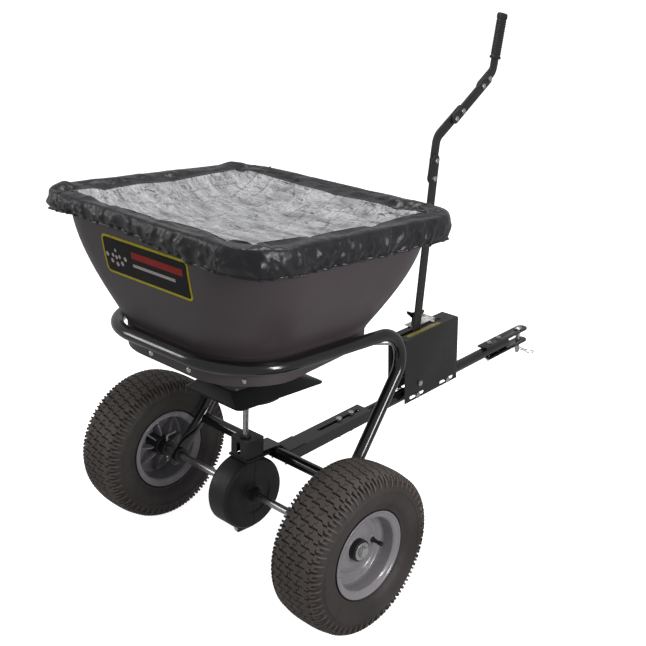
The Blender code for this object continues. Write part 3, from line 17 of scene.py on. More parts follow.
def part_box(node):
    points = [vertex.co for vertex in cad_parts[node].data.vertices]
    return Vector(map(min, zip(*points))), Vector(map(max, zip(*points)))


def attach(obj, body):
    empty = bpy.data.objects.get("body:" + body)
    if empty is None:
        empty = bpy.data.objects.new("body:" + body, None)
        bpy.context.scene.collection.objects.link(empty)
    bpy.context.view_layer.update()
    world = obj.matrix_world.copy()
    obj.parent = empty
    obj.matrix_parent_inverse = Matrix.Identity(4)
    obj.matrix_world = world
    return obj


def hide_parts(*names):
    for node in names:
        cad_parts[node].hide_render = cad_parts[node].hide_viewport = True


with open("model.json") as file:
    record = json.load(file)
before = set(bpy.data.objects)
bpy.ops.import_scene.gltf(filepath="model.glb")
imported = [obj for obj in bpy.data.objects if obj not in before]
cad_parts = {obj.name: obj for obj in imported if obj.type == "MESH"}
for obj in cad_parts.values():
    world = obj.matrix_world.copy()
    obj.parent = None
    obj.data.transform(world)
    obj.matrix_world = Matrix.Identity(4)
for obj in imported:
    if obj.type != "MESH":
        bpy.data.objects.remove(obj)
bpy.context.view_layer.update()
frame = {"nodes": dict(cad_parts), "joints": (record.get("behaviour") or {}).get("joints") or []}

# --------------------------------------------------------------------------------------- values
FINE_SIDES = 64
CORNER_STEPS = 12
WHEEL_SIDES = 144
EDGE = 0.0006

TYRE_CROWN = 0.1647
TYRE_CROWN_DROP = 0.0062
TREAD_HALF_WIDTH = 0.0480
TREAD_ROWS = 4
TREAD_BLOCKS = 56
TREAD_DEPTH = 0.0042
ROW_WIDTH = 0.0228
ROW_SHIFT = 0.28
LUG_HALF_ANGLE = 0.0135
RIM_BARREL = 0.0738
HUB_TUBE = 0.0215
RIM_FINS = 8
RIM_FIN_HALF = 0.0016
HUB_BORE = 0.0132
HUB_REACH = (-0.0300, 0.0275)
VALVE_RADIUS = 0.047

TUBE = 0.0127
RING_HALF_WIDTH = 0.222
RING_HEIGHT = 0.368
RING_REAR = -0.2145
RING_CORNER = 0.140
FRONT_BEND = (0.264, RING_HEIGHT)
LEG_KINK = (0.078, 0.087)
TAIL_END = (-0.0183, -0.0197)
TAIL_HALF = (0.004, 0.019)
TAIL_FLAT = 0.050
CROSS_TUBE = (0.0691, 0.0703)

BOX_SHEET = 0.0018
BOX_BEND = 0.0045
LEVER_SLOT = (0.502, 0.650)
LEVER_SLOT_HALF = 0.0055
STOP_SLOT = (0.548, 0.650)
STOP_SLOT_HALF = 0.0038
STOP_SLOT_X = -0.018
SIDE_SLOTS = (0.532, 0.648)
SIDE_SLOT_HALF_LENGTH = 0.0225
SIDE_SLOT_HALF = 0.0045
SIDE_SLOT_HEIGHT = 0.197
SCALE_ENDS = (0.508, 0.628)
SCALE_SIDES = (0.0105, 0.0215)
SCALE_TICKS = 20
TICK_HALF = 0.0006

CASE_BOSS_DROP = 0.0845
CASE_BOSS_RADIUS = 0.010
CASE_BOSS_DEPTH = 0.020
BUSHING_BORE = 0.0084
BUSHING_RADIUS = 0.0108
BUSHING_FLANGE = 0.014

KNOB_TURN = math.radians(-32)
KNOB_STEM = 0.0065
KNOB_WING_SPAN = 0.0225
KNOB_WING_HALF = 0.003
ROD_RADIUS = 0.003

LEVER_PIVOT = (0.540, 0.226)
LEVER_JOINTS = (
    ((0.611, 0.712), (0.618, 0.752)),
    ((0.688, 0.838), (0.712, 0.852)),
    ((0.788, 0.899), (0.812, 0.913)),
)
LEVER_MIDDLE_BEND = (0.628, 0.803)
LEVER_HANDLE_BEND = (0.836, 0.928)
LEVER_TOP = (0.862, 1.040)
LEVER_LAP = 0.0054
BAR_HALF_WIDTH = 0.0125
BAR_HALF_THICKNESS = 0.0025
BOLT_HOLE = 0.0045

PIN_RADIUS = 0.006
PIN_HOLE = 0.007
CLIP_WIRE = 0.0014
CLIP_HOLE = 0.0019
CLIP_BOW = 0.0095
CLIP_BOW_CENTRE = 0.040

IMPELLER_VANES = 6
AGITATOR_REACH = 0.040
AGITATOR_WIRE = 0.003

HOPPER_RIM = (0.300, 0.252)
HOPPER_BASE = (0.2085, 0.2010)
HOPPER_CORNERS = (0.127, 0.125)
HOPPER_HEIGHTS = (0.384, 0.612)
HOPPER_WALL = 0.0035
HOPPER_LIP = 0.008
HOPPER_LIP_CORNER = 0.075
SKIRT_BOTTOM = 0.326
SKIRT_CLIMB = (-0.080, 0.115)
SKIRT_CLIMB_HEIGHT = 0.023
SCREW_ABOVE_SKIRT = 0.012
FLOOR_EDGE = 0.354
OUTLET = (0.045, 0.288)
DECAL_SIDES = (-0.117, 0.130)
DECAL_HEIGHTS = (0.488, 0.5620)
DECAL_BORDER = 0.0046
DECAL_CORNER = 0.0110

COVER_HALF = (0.3112, 0.2632)
COVER_CORNER = 0.078
COVER_HEM = 0.566
COVER_CREST = 0.6235
WINDOW_HALF = (0.268, 0.226)
WINDOW_CORNER = 0.010
COVER_RINGS = 60
COVER_TOP_SHARE = 0.86
WINDOW_SHARE = 0.74
COVER_FRAMES = 22
COVER_SHOULDER_DROP = 0.0055
COVER_EASE = 0.004
FILM_FOLD = 0.0065
STRIP_FOLD = 0.0030
GATHER_DEPTH = 0.0085
STRIP_PUFF = 0.0125
HEM_RISE = 0.0190
HEM_HIGH_POINT = -0.120
HEM_RISE_REACH = 0.28
HEM_WAVE = 0.0035
CORNER_SEAMS = (0.145, 0.355, 0.645, 0.855)

FLOOR_GLOW = 0.9
FLOOR_HALF = 60.0
SURROUND_LIGHT = 0.36
LIGHT_TARGET = (0.0, -0.2, 0.4)
STUDIO_LIGHTS = (
    ("overhead", (0.2, -0.2, 3.0), (1.8, 1.2), 46),
    ("right_box", (2.8, -0.5, 1.1), (0.5, 1.6), 46),
    ("left_box", (-2.2, -2.2, 1.5), (0.4, 1.4), 11),
)

CAMERA_PLACE = Vector((1.3957, -1.5627, 1.273))
CAMERA_AZIMUTH = math.radians(42.163)
CAMERA_ELEVATION = math.radians(23.30)
CAMERA_ROLL = math.radians(-0.233)
CAMERA_LENS = 55.44
CAMERA_SHIFT = (-0.0708, 0.0277)


def joint(name):
    """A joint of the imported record."""
    return next(j for j in frame["joints"] if j["name"] == name)


def pitched_frame():
    """The leaning frame's matrix: its origin on the axle, its Z up the impeller shaft."""
    shaft = joint("impeller_spin")
    up = Vector(shaft["axis"]).normalized()
    across = Vector((1, 0, 0))
    turn = Matrix((across, up.cross(across), up)).transposed().to_4x4()
    return Matrix.Translation(shaft["pos_m"]) @ turn


PITCHED = pitched_frame()
AXLE = PITCHED.translation.copy()
LEVEL = Matrix.Translation((0, AXLE.y, 0))


def box_in(node, place):
    """A CAD node's lowest and highest corners in another frame."""
    inverse = place.inverted()
    corners = np.array([inverse @ v.co for v in frame["nodes"][node].data.vertices])
    return Vector(corners.min(axis=0)), Vector(corners.max(axis=0))


# ------------------------------------------------------------------------------------- outlines
def circle(radius, height, sides=FINE_SIDES, centre=(0.0, 0.0)):
    """A ring of points about local Z."""
    turns = [2 * math.pi * k / sides for k in range(sides)]
    return [
        Vector((centre[0] + radius * math.cos(a), centre[1] + radius * math.sin(a), height))
        for a in turns
    ]


def rounded_rectangle(half_size, corner, height, centre_along=0.0, steps=CORNER_STEPS, runs=1):
    """A rectangle with round corners about local Z, each straight run divided."""
    half_x, half_y = half_size
    corner = min(corner, half_x - 1e-4, half_y - 1e-4)
    arcs = []
    for quarter in range(4):
        side_x = 1 if quarter in (0, 3) else -1
        side_y = 1 if quarter in (0, 1) else -1
        arc = []
        for k in range(steps + 1):
            angle = (quarter + k / steps) * math.pi / 2
            x = side_x * (half_x - corner) + corner * math.cos(angle)
            y = side_y * (half_y - corner) + corner * math.sin(angle)
            arc.append(Vector((x, y + centre_along, height)))
        arcs.append(arc)
    points = []
    for arc, following in zip(arcs, arcs[1:] + arcs[:1]):
        points += arc
        points += [arc[-1].lerp(following[0], k / runs) for k in range(1, runs)]
    return points


def stadium(start, end, half_width, steps=12):
    """A slot's outline from centre to centre."""
    start, end = Vector(start), Vector(end)
    along = (end - start).normalized()
    across = Vector((-along.y, along.x))
    points = []
    for centre, facing in ((end, 1), (start, -1)):
        for k in range(steps + 1):
            angle = -math.pi / 2 + math.pi * k / steps
            points.append(centre + facing * half_width * (along * math.cos(angle) + across * math.sin(angle)))
    return points


def arc_between(before, corner, after, radius, degrees_per_step=6):
    """Points of the fillet at a corner, cut down where the sides are too short for the radius."""
    back = before - corner
    ahead = after - corner
    room = 0.49 * min(back.length, ahead.length)
    back.normalize()
    ahead.normalize()
    inside = back.angle(ahead)
    if radius <= 0 or inside > math.pi - 1e-3:
        return [corner]
    reach = min(radius / math.tan(inside / 2), room)
    radius = reach * math.tan(inside / 2)
    centre = corner + (back + ahead).normalized() * (radius / math.sin(inside / 2))
    start = corner + back * reach - centre
    side = -back * radius
    turn = math.pi - inside
    steps = max(2, round(math.degrees(turn) / degrees_per_step))
    return [
        centre + start * math.cos(turn * k / steps) + side * math.sin(turn * k / steps)
        for k in range(steps + 1)
    ]


def rounded_path(corners, radii, degrees_per_step=6):
    """An open path with its inner corners turned into arcs."""
    corners = [Vector(c) for c in corners]
    path = [corners[0]]
    for before, corner, after, radius in zip(corners, corners[1:], corners[2:], radii):
        path += arc_between(before, corner, after, radius, degrees_per_step)
    path.append(corners[-1])
    return path


def rounded_loop(corners, radius, degrees_per_step=15):
    """A closed outline with every corner rounded. Radius may be one number or one for each."""
    corners = [Vector(c) for c in corners]
    radii = [radius] * len(corners) if isinstance(radius, (int, float)) else radius
    loop = []
    for k, corner in enumerate(corners):
        before, after = corners[k - 1], corners[(k + 1) % len(corners)]
        loop += arc_between(before, corner, after, radii[k], degrees_per_step)
    return loop


# --------------------------------------------------------------------------------------- meshes
def loft(rings, closed):
    """A skin over rings of equal length: closed joins last to first, else both ends are capped."""
    mesh = bmesh.new()
    rows = [[mesh.verts.new(point) for point in ring] for ring in rings]
    pairs = list(zip(rows, rows[1:]))
    if closed:
        pairs.append((rows[-1], rows[0]))
    else:
        mesh.faces.new(rows[0][::-1])
        mesh.faces.new(rows[-1])
    count = len(rows[0])
    for row, following in pairs:
        for k in range(count):
            n = (k + 1) % count
            mesh.faces.new((row[k], row[n], following[n], following[k]))
    return mesh


def turned(profile, closed, sides=FINE_SIDES):
    """A body of revolution about local Z from (radius, height) points."""
    return loft([circle(point[0], point[1], sides) for point in profile], closed)


def ring_of(corners, radius=EDGE, sides=FINE_SIDES):
    """A closed ring turned from an outline with rounded corners."""
    return turned(rounded_loop(corners, radius), True, sides)


def plate(outline, holes, low, high, edge=EDGE):
    """A flat piece in local XY with holes, with bevelled edges."""
    mesh = bmesh.new()
    edges = []
    for loop in [outline, *holes]:
        verts = [mesh.verts.new((point[0], point[1], low)) for point in loop]
        edges += [mesh.edges.new((a, b)) for a, b in zip(verts, verts[1:] + verts[:1])]
    bmesh.ops.triangle_fill(mesh, use_beauty=True, use_dissolve=False, edges=edges)
    bmesh.ops.dissolve_limit(mesh, angle_limit=0.001, verts=mesh.verts, edges=mesh.edges)
    grown = bmesh.ops.extrude_face_region(mesh, geom=mesh.faces[:])
    moved = [item for item in grown["geom"] if isinstance(item, bmesh.types.BMVert)]
    bmesh.ops.translate(mesh, verts=moved, vec=(0, 0, high - low))
    bevel_sharp(mesh, edge)
    return mesh


def bevel_sharp(mesh, width, segments=2, angle=math.radians(40)):
    """Rounds every edge that turns by more than the angle."""
    if width <= 0:
        return
    bmesh.ops.recalc_face_normals(mesh, faces=mesh.faces)
    sharp = [e for e in mesh.edges if len(e.link_faces) == 2 and e.calc_face_angle(0) > angle]
    bmesh.ops.bevel(mesh, geom=sharp, offset=width, segments=segments, profile=0.5, affect="EDGES")


def sweep(path, section, start_side, sides=32, closed=False):
    """A tube along a path. section(distance, length) gives its two radii there."""
    path = [Vector(p) for p in path]
    distances = [0.0]
    for a, b in zip(path, path[1:]):
        distances.append(distances[-1] + (b - a).length)
    side = Vector(start_side)
    rings = []
    for k, point in enumerate(path):
        before = (point - path[k - 1]).normalized() if k else None
        after = (path[k + 1] - point).normalized() if k + 1 < len(path) else None
        tangent = ((before or after) + (after or before)).normalized()
        side = (side - side.project(tangent)).normalized()
        across = tangent.cross(side)
        radii = section(distances[k], distances[-1])
        angles = [2 * math.pi * n / sides for n in range(sides)]
        rings.append(
            [point + side * radii[0] * math.cos(a) + across * radii[1] * math.sin(a) for a in angles]
        )
    return loft(rings, closed)


def tube(path, radius, start_side=(1, 0, 0), sides=32):
    """A round rod or tube of one radius."""
    return sweep(path, lambda distance, length: (radius, radius), start_side, sides)


def join(meshes):
    """Several bmeshes in one, as separate closed shells."""
    result = meshes[0]
    for other in meshes[1:]:
        data = bpy.data.meshes.new("joined")
        other.to_mesh(data)
        result.from_mesh(data)
        bpy.data.meshes.remove(data)
        other.free()
    return result


# --------------------------------------------------------------------------------------- pieces
def piece(name, mesh, material, body, place=None, stands_for=()):
    """A visible piece: its mesh is moved into place and it rides on a body."""
    if place is not None:
        mesh.transform(place)
    bmesh.ops.recalc_face_normals(mesh, faces=mesh.faces)
    data = bpy.data.meshes.new(name)
    mesh.to_mesh(data)
    mesh.free()
    data.shade_smooth()
    data.set_sharp_from_angle(angle=math.radians(38))
    data.materials.append(material)
    thing = bpy.data.objects.new(name, data)
    bpy.context.scene.collection.objects.link(thing)
    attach(thing, body)
    if stands_for:
        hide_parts(*stands_for)
    return thing


def drill(thing, mesh, place=None):
    """Cuts a shape out of a piece at once."""
    if place is not None:
        mesh.transform(place)
    bmesh.ops.recalc_face_normals(mesh, faces=mesh.faces)
    data = bpy.data.meshes.new("drill")
    mesh.to_mesh(data)
    mesh.free()
    cutter = bpy.data.objects.new("drill", data)
    bpy.context.scene.collection.objects.link(cutter)
    cut = thing.modifiers.new("drill", "BOOLEAN")
    cut.operation = "DIFFERENCE"
    cut.object = cutter
    graph = bpy.context.evaluated_depsgraph_get()
    bpy.context.view_layer.update()
    result = bpy.data.meshes.new_from_object(thing.evaluated_get(graph))
    thing.modifiers.clear()
    thing.data = result
    result.set_sharp_from_angle(angle=math.radians(38))
    bpy.data.objects.remove(cutter)


AIM = {
    "x": Matrix.Rotation(math.pi / 2, 4, "Y"),
    "-x": Matrix.Rotation(-math.pi / 2, 4, "Y"),
    "y": Matrix.Rotation(-math.pi / 2, 4, "X"),
    "-y": Matrix.Rotation(math.pi / 2, 4, "X"),
    "z": Matrix.Identity(4),
    "-z": Matrix.Rotation(math.pi, 4, "X"),
}
# Stands a flat outline drawn as (along, up) in the YZ plane, its thickness along X.
UPRIGHT = Matrix(((0, 0, 1, 0), (1, 0, 0, 0), (0, 1, 0, 0), (0, 0, 0, 1)))


def at(point, aim="z", base=None):
    """A place at a point, with local Z turned along an axis, in the object's frame or another."""
    local = Matrix.Translation(Vector(point)) @ AIM[aim]
    return base @ local if base else local


# ------------------------------------------------------------------------------------ materials
def nodes_of(name):
    """A new material with its shader and a function that adds nodes."""
    material = bpy.data.materials.new(name)
    material.use_nodes = True
    tree = material.node_tree
    shader = tree.nodes["Principled BSDF"]
    where = tree.nodes.new("ShaderNodeTexCoord").outputs["Object"]
    return material, tree, shader, where


def noise_node(tree, where, scale, detail=4.0, roughness=0.55, stretch=None):
    """A noise texture over the piece, stretched along its axes if asked."""
    if stretch:
        mapping = tree.nodes.new("ShaderNodeMapping")
        mapping.inputs["Scale"].default_value = stretch
        tree.links.new(where, mapping.inputs["Vector"])
        where = mapping.outputs["Vector"]
    node = tree.nodes.new("ShaderNodeTexNoise")
    node.inputs["Scale"].default_value = scale
    node.inputs["Detail"].default_value = detail
    node.inputs["Roughness"].default_value = roughness
    tree.links.new(where, node.inputs["Vector"])
    return node.outputs["Fac"]


def spread(tree, value, low, high, out_low, out_high):
    """A value's range moved to another range."""
    node = tree.nodes.new("ShaderNodeMapRange")
    node.inputs["From Min"].default_value = low
    node.inputs["From Max"].default_value = high
    node.inputs["To Min"].default_value = out_low
    node.inputs["To Max"].default_value = out_high
    tree.links.new(value, node.inputs["Value"])
    return node.outputs["Result"]


def ridges(tree, value, width):
    """Narrow crests, 1 at the middle of a noise value's range and 0 a width away from it."""
    offset = tree.nodes.new("ShaderNodeMath")
    offset.operation = "SUBTRACT"
    tree.links.new(value, offset.inputs[0])
    offset.inputs[1].default_value = 0.5
    size = tree.nodes.new("ShaderNodeMath")
    size.operation = "ABSOLUTE"
    tree.links.new(offset.outputs[0], size.inputs[0])
    return spread(tree, size.outputs[0], 0.0, width, 1.0, 0.0)


def blend_colour(tree, share, dark, light):
    """A colour between two, by a share."""
    node = tree.nodes.new("ShaderNodeMix")
    node.data_type = "RGBA"
    node.inputs["A"].default_value = (*dark, 1)
    node.inputs["B"].default_value = (*light, 1)
    tree.links.new(share, node.inputs["Factor"])
    return node.outputs["Result"]


def bump(tree, height, depth, before=None):
    """A bump of a depth in metres, over an earlier one if given."""
    node = tree.nodes.new("ShaderNodeBump")
    node.inputs["Strength"].default_value = 1.0
    node.inputs["Distance"].default_value = depth
    tree.links.new(height, node.inputs["Height"])
    if before:
        tree.links.new(before, node.inputs["Normal"])
    return node.outputs["Normal"]


def finish(
    name, colour, rough, metallic=0.0, mottle=0.12, patch=18, grain=600, depth=0.00005, coat=0.0, sheen=0.0,
    spec=0.5, wander=0.06,
):
    """A surface with grain in its bump, wandering gloss and slightly mottled colour."""
    material, tree, shader, where = nodes_of(name)
    broad = noise_node(tree, where, patch)
    light = [min(1.0, c * (1 + mottle)) for c in colour]
    dark = [c * (1 - mottle) for c in colour]
    colour_out = blend_colour(tree, spread(tree, broad, 0.3, 0.7, 0, 1), dark, light)
    tree.links.new(colour_out, shader.inputs["Base Color"])
    fine = noise_node(tree, where, grain, 2.0)
    smear = noise_node(tree, where, patch * 3.1, 5.0)
    tree.links.new(
        spread(tree, smear, 0.3, 0.7, rough - wander, rough + wander), shader.inputs["Roughness"]
    )
    tree.links.new(bump(tree, fine, depth), shader.inputs["Normal"])
    shader.inputs["Metallic"].default_value = metallic
    shader.inputs["Specular IOR Level"].default_value = spec
    shader.inputs["Coat Weight"].default_value = coat
    shader.inputs["Coat Roughness"].default_value = 0.08
    shader.inputs["Sheen Weight"].default_value = sheen
    return material


def tyre_rubber(name, dark, light):
    """Dusty turf-tyre rubber: warmer and lighter in broad patches, with a fine moulded grain."""
    material, tree, shader, where = nodes_of(name)
    broad = noise_node(tree, where, 9, 5.0)
    colour = blend_colour(tree, spread(tree, broad, 0.35, 0.7, 0, 1), dark, light)
    tree.links.new(colour, shader.inputs["Base Color"])
    smear = noise_node(tree, where, 60, 5.0)
    tree.links.new(spread(tree, smear, 0.3, 0.7, 0.52, 0.74), shader.inputs["Roughness"])
    fine = noise_node(tree, where, 900, 3.0)
    coarse = noise_node(tree, where, 160, 4.0)
    normal = bump(tree, coarse, 0.00012)
    tree.links.new(bump(tree, fine, 0.00008, normal), shader.inputs["Normal"])
    shader.inputs["Specular IOR Level"].default_value = 0.4
    return material


def crinkled_nylon():
    """Thin black nylon: fine weave, soft sheen and small crumples."""
    material, tree, shader, where = nodes_of("crinkled_nylon")
    broad = noise_node(tree, where, 26, 4.0)
    colour = blend_colour(
        tree, spread(tree, broad, 0.3, 0.7, 0, 1), (0.006, 0.006, 0.008), (0.014, 0.014, 0.018)
    )
    tree.links.new(colour, shader.inputs["Base Color"])
    tree.links.new(spread(tree, broad, 0.3, 0.7, 0.28, 0.44), shader.inputs["Roughness"])
    crumple = noise_node(tree, where, 30, 2.5, 0.5)
    crease = ridges(tree, noise_node(tree, where, 22, 2.0, 0.5), 0.10)
    weave = noise_node(tree, where, 1400, 1.0)
    normal = bump(tree, crease, 0.0008, bump(tree, crumple, 0.0040))
    tree.links.new(bump(tree, weave, 0.00008, normal), shader.inputs["Normal"])
    shader.inputs["Sheen Weight"].default_value = 0.10
    shader.inputs["Sheen Roughness"].default_value = 0.4
    return material


def window_vinyl():
    """Translucent grey film: glossy, crossed by small creases, with a cloudy tone that is painted shade in
    the hollows of its broad swell.
    """
    material, tree, shader, where = nodes_of("window_vinyl")
    cloud_and_hollow_shade = noise_node(tree, where, 24, 7.0, 0.62, (0.55, 1.5, 1.0))
    crease = ridges(tree, noise_node(tree, where, 20, 3.5, 0.55, (0.5, 1.4, 1.0)), 0.12)
    cross = ridges(tree, noise_node(tree, where, 16, 3.0, 0.55, (1.3, 0.6, 1.0)), 0.07)
    # The tone follows the broad swell of the bump: darker in its hollows as painted shade, lighter on its
    # crests, mixed with the film's own cloudiness.
    colour = blend_colour(tree, spread(tree, cloud_and_hollow_shade, 0.34, 0.60, 0, 1), (0.26, 0.26, 0.27), (0.55, 0.55, 0.57))
    tree.links.new(colour, shader.inputs["Base Color"])
    fine = noise_node(tree, where, 150, 5.0, 0.6, (0.6, 1.4, 1.0))
    tree.links.new(spread(tree, fine, 0.3, 0.7, 0.26, 0.46), shader.inputs["Roughness"])
    normal = bump(tree, cross, 0.0035, bump(tree, crease, 0.0060, bump(tree, cloud_and_hollow_shade, 0.010)))
    tree.links.new(bump(tree, fine, 0.0008, normal), shader.inputs["Normal"])
    shader.inputs["Transmission Weight"].default_value = 0.10
    shader.inputs["Specular IOR Level"].default_value = 0.6
    return material


def zinc_plate():
    """Bright zinc with faint cloudy spangle and a warm tint in patches."""
    material, tree, shader, where = nodes_of("zinc_plate")
    broad = noise_node(tree, where, 130, 3.0)
    colour = blend_colour(tree, spread(tree, broad, 0.35, 0.65, 0, 1), (0.56, 0.56, 0.57), (0.70, 0.70, 0.68))
    tree.links.new(colour, shader.inputs["Base Color"])
    tree.links.new(spread(tree, broad, 0.3, 0.7, 0.22, 0.42), shader.inputs["Roughness"])
    fine = noise_node(tree, where, 1500, 2.0)
    tree.links.new(bump(tree, fine, 0.00004), shader.inputs["Normal"])
    shader.inputs["Metallic"].default_value = 1.0
    return material


def drawn_steel():
    """Bright drawn bar with fine marks round it."""
    material, tree, shader, where = nodes_of("drawn_steel")
    lines = noise_node(tree, where, 240, 4.0, 0.6, (0.06, 1.0, 1.0))
    colour = blend_colour(tree, spread(tree, lines, 0.3, 0.7, 0, 1), (0.38, 0.39, 0.40), (0.62, 0.63, 0.64))
    tree.links.new(colour, shader.inputs["Base Color"])
    tree.links.new(spread(tree, lines, 0.3, 0.7, 0.20, 0.36), shader.inputs["Roughness"])
    tree.links.new(bump(tree, lines, 0.00006), shader.inputs["Normal"])
    shader.inputs["Metallic"].default_value = 1.0
    return material


GLOSS_BLACK = finish(
    "gloss_black_paint", (0.0075, 0.0075, 0.008), 0.17, grain=420, depth=0.00006, coat=0.5, patch=9
)
SATIN_BLACK = finish("satin_black_paint", (0.016, 0.015, 0.0145), 0.40, grain=900, depth=0.00006)
HOPPER_POLY = finish(
    "hopper_polyethylene", (
        0.058, 0.046, 0.049
    ), 0.38, grain=520, depth=0.00016, patch=5, mottle=0.07, wander=0.05
)
BLACK_PLASTIC = finish("black_moulded_plastic", (0.012, 0.012, 0.013), 0.48, grain=700, depth=0.00010)
NYLON_BUSH = finish("nylon_bushing", (0.014, 0.014, 0.015), 0.5, grain=900, depth=0.00004)
RIM_PAINT = finish(
    "grey_rim_paint", (0.225, 0.212, 0.228), 0.25, grain=500, depth=0.00007, coat=0.3, patch=12, mottle=0.1
)
HUB_PLASTIC = finish("hub_plastic", (0.010, 0.010, 0.011), 0.38, grain=700, depth=0.00006)
GRIP_VINYL = finish("grip_vinyl", (0.012, 0.012, 0.012), 0.55, grain=500, depth=0.00014)
VALVE_RUBBER = finish("valve_rubber", (0.010, 0.010, 0.010), 0.5, grain=800, depth=0.00006)
THREAD = finish("thread", (0.020, 0.020, 0.023), 0.7, grain=900, depth=0.0001, sheen=0.3)
SCALE_PRINT = finish("scale_print", (0.20, 0.175, 0.03), 0.35, grain=500, depth=0.00002, mottle=0.15)
YELLOW_PRINT = finish("yellow_print", (0.95, 0.80, 0.01), 0.35, grain=500, depth=0.00002, mottle=0.04)
RED_PRINT = finish("red_print", (0.62, 0.035, 0.025), 0.35, grain=500, depth=0.00002, mottle=0.04)
WHITE_PRINT = finish("white_print", (0.85, 0.75, 0.74), 0.35, grain=500, depth=0.00002, mottle=0.03)
DECAL_BLACK = finish("decal_black", (0.006, 0.006, 0.006), 0.34, grain=300, depth=0.00003, mottle=0.05)
# One rubber in two tones: the tread blocks lighter as painted light, and the carcass darker as painted shade
# that also fills the grooves between the blocks.
LIT_TREAD_RUBBER = tyre_rubber("lit_tread_rubber", (0.062, 0.051, 0.047), (0.105, 0.090, 0.080))
SHADED_CARCASS_RUBBER = tyre_rubber("shaded_carcass_rubber", (0.026, 0.021, 0.021), (0.048, 0.040, 0.039))
COVER_NYLON = crinkled_nylon()
WINDOW_VINYL = window_vinyl()
ZINC = zinc_plate()
STEEL = drawn_steel()


# --------------------------------------------------------------------------------------- wheels
def crown_drop(offset):
    """How far the tread surface falls away from the crown at a distance from its middle."""
    return TYRE_CROWN_DROP * (abs(offset) / TREAD_HALF_WIDTH) ** 3


def carcass():
    """The tyre under its tread: rounded crown, bulged sidewalls with a raised ring, beads."""
    side = [
        (TYRE_CROWN - TREAD_DEPTH, 0.0),
        (TYRE_CROWN - TREAD_DEPTH - 0.0012, 0.030),
        (0.1515, 0.0545),
        (0.1330, 0.0590),
        (0.1323, 0.0602),
        (0.1302, 0.0602),
        (0.1295, 0.0590),
        (0.1080, 0.0566),
        (0.0965, 0.0490),
        (0.0925, 0.0484),
        (0.0905, 0.0440),
        (0.0800, 0.0430),
    ]
    radii = [0.120, 0.017, 0.030, 0.0005, 0.0005, 0.030, 0.050, 0.010, 0.0015, 0.003]
    near = rounded_path([(r, z, 0) for r, z in side], radii, 5)
    outline = [(p.x, p.y) for p in near]
    outline += [(r, -z) for r, z in reversed(outline)]
    inside = [
        (0.0800, -0.038), (0.1400, -0.046), (0.1540, -0.030), (0.1540, 0.030), (0.1400, 0.046),
        (0.0800, 0.038)
    ]
    return turned(outline + inside, True, WHEEL_SIDES)


def tread_block(row, number):
    """One Z-shaped tread block, interlocking with its neighbours in the rows beside it."""
    outline = [
        (-0.345, -0.55), (-0.05, -0.55), (0.05, -0.27), (0.585, -0.27), (0.585, 0.11), (0.345, 0.11),
        (0.345, 0.55), (0.05, 0.55), (-0.05, 0.27), (-0.585, 0.27), (-0.585, -0.11), (-0.345, -0.11),
    ]
    middle = (row - (TREAD_ROWS - 1) / 2) * ROW_WIDTH
    step = 2 * math.pi / TREAD_BLOCKS
    turn = (number + row * ROW_SHIFT) * step
    rings = []
    for depth, swell in ((TREAD_DEPTH + 0.0015, 1.07), (0.0007, 1.0), (0.0, 0.95)):
        ring = []
        for across, around in outline:
            z = middle + across * swell * ROW_WIDTH
            angle = turn + around * swell * step
            radius = TYRE_CROWN - crown_drop(z) - depth
            ring.append(Vector((radius * math.cos(angle), radius * math.sin(angle), z)))
        rings.append(ring)
    return loft(rings, False)


def shoulder_lug(number, side):
    """A short rib from the tread's edge down onto the sidewall; every other one is longer."""
    path = [(0.1598, 0.0470), (0.1565, 0.0532), (0.1510, 0.0568)]
    if number % 2:
        path += [(0.1440, 0.0592), (0.1400, 0.0597)]
    angle = number * math.pi / TREAD_BLOCKS
    rings = []
    for k, (radius, z) in enumerate(path):
        half = LUG_HALF_ANGLE if k < len(path) - 1 else LUG_HALF_ANGLE * 0.7
        rise = 0.0006 if k < len(path) - 1 else -0.0004
        ring = []
        for turn, out in ((-half, -0.004), (-half * 0.8, rise), (half * 0.8, rise), (half, -0.004)):
            along = 0.75 * out
            place = angle + turn
            reach = radius + out * 0.6
            ring.append(Vector((reach * math.cos(place), reach * math.sin(place), side * (z + along))))
        rings.append(ring)
    return loft(rings, False)


def rim():
    """The painted rim: rolled flanges, a barrel, and a dished web with two shallow steps."""
    outer = [
        (0.0768, 0.0430),
        (0.0800, 0.0450),
        (0.0872, 0.0462),
        (0.0893, 0.0478),
        (0.0885, 0.0497),
        (0.0862, 0.0495),
        (0.0838, 0.0478),
        (0.0770, 0.0455),
        (RIM_BARREL, 0.0425),
    ]
    inner = [(r, -z) for r, z in reversed(outer)]
    dish = [
        (RIM_BARREL, 0.0200),
        (0.0722, 0.0150),
        (0.0690, 0.0132),
        (0.0625, 0.0122),
        (0.0605, 0.0102),
        (0.0520, 0.0092),
        (0.0498, 0.0108),
        (0.0400, 0.0125),
        (0.0275, 0.0132),
        (HUB_TUBE - 0.0005, 0.0165),
        (HUB_TUBE - 0.0005, 0.0100),
        (0.0400, 0.0095),
        (0.0520, 0.0062),
        (0.0690, 0.0085),
        (RIM_BARREL, 0.0050),
    ]
    profile = [(r, z, 0) for r, z in outer + dish + inner]
    smooth = rounded_loop(profile, 0.0016, 15)
    return turned([(p.x, p.y) for p in smooth], True, WHEEL_SIDES)


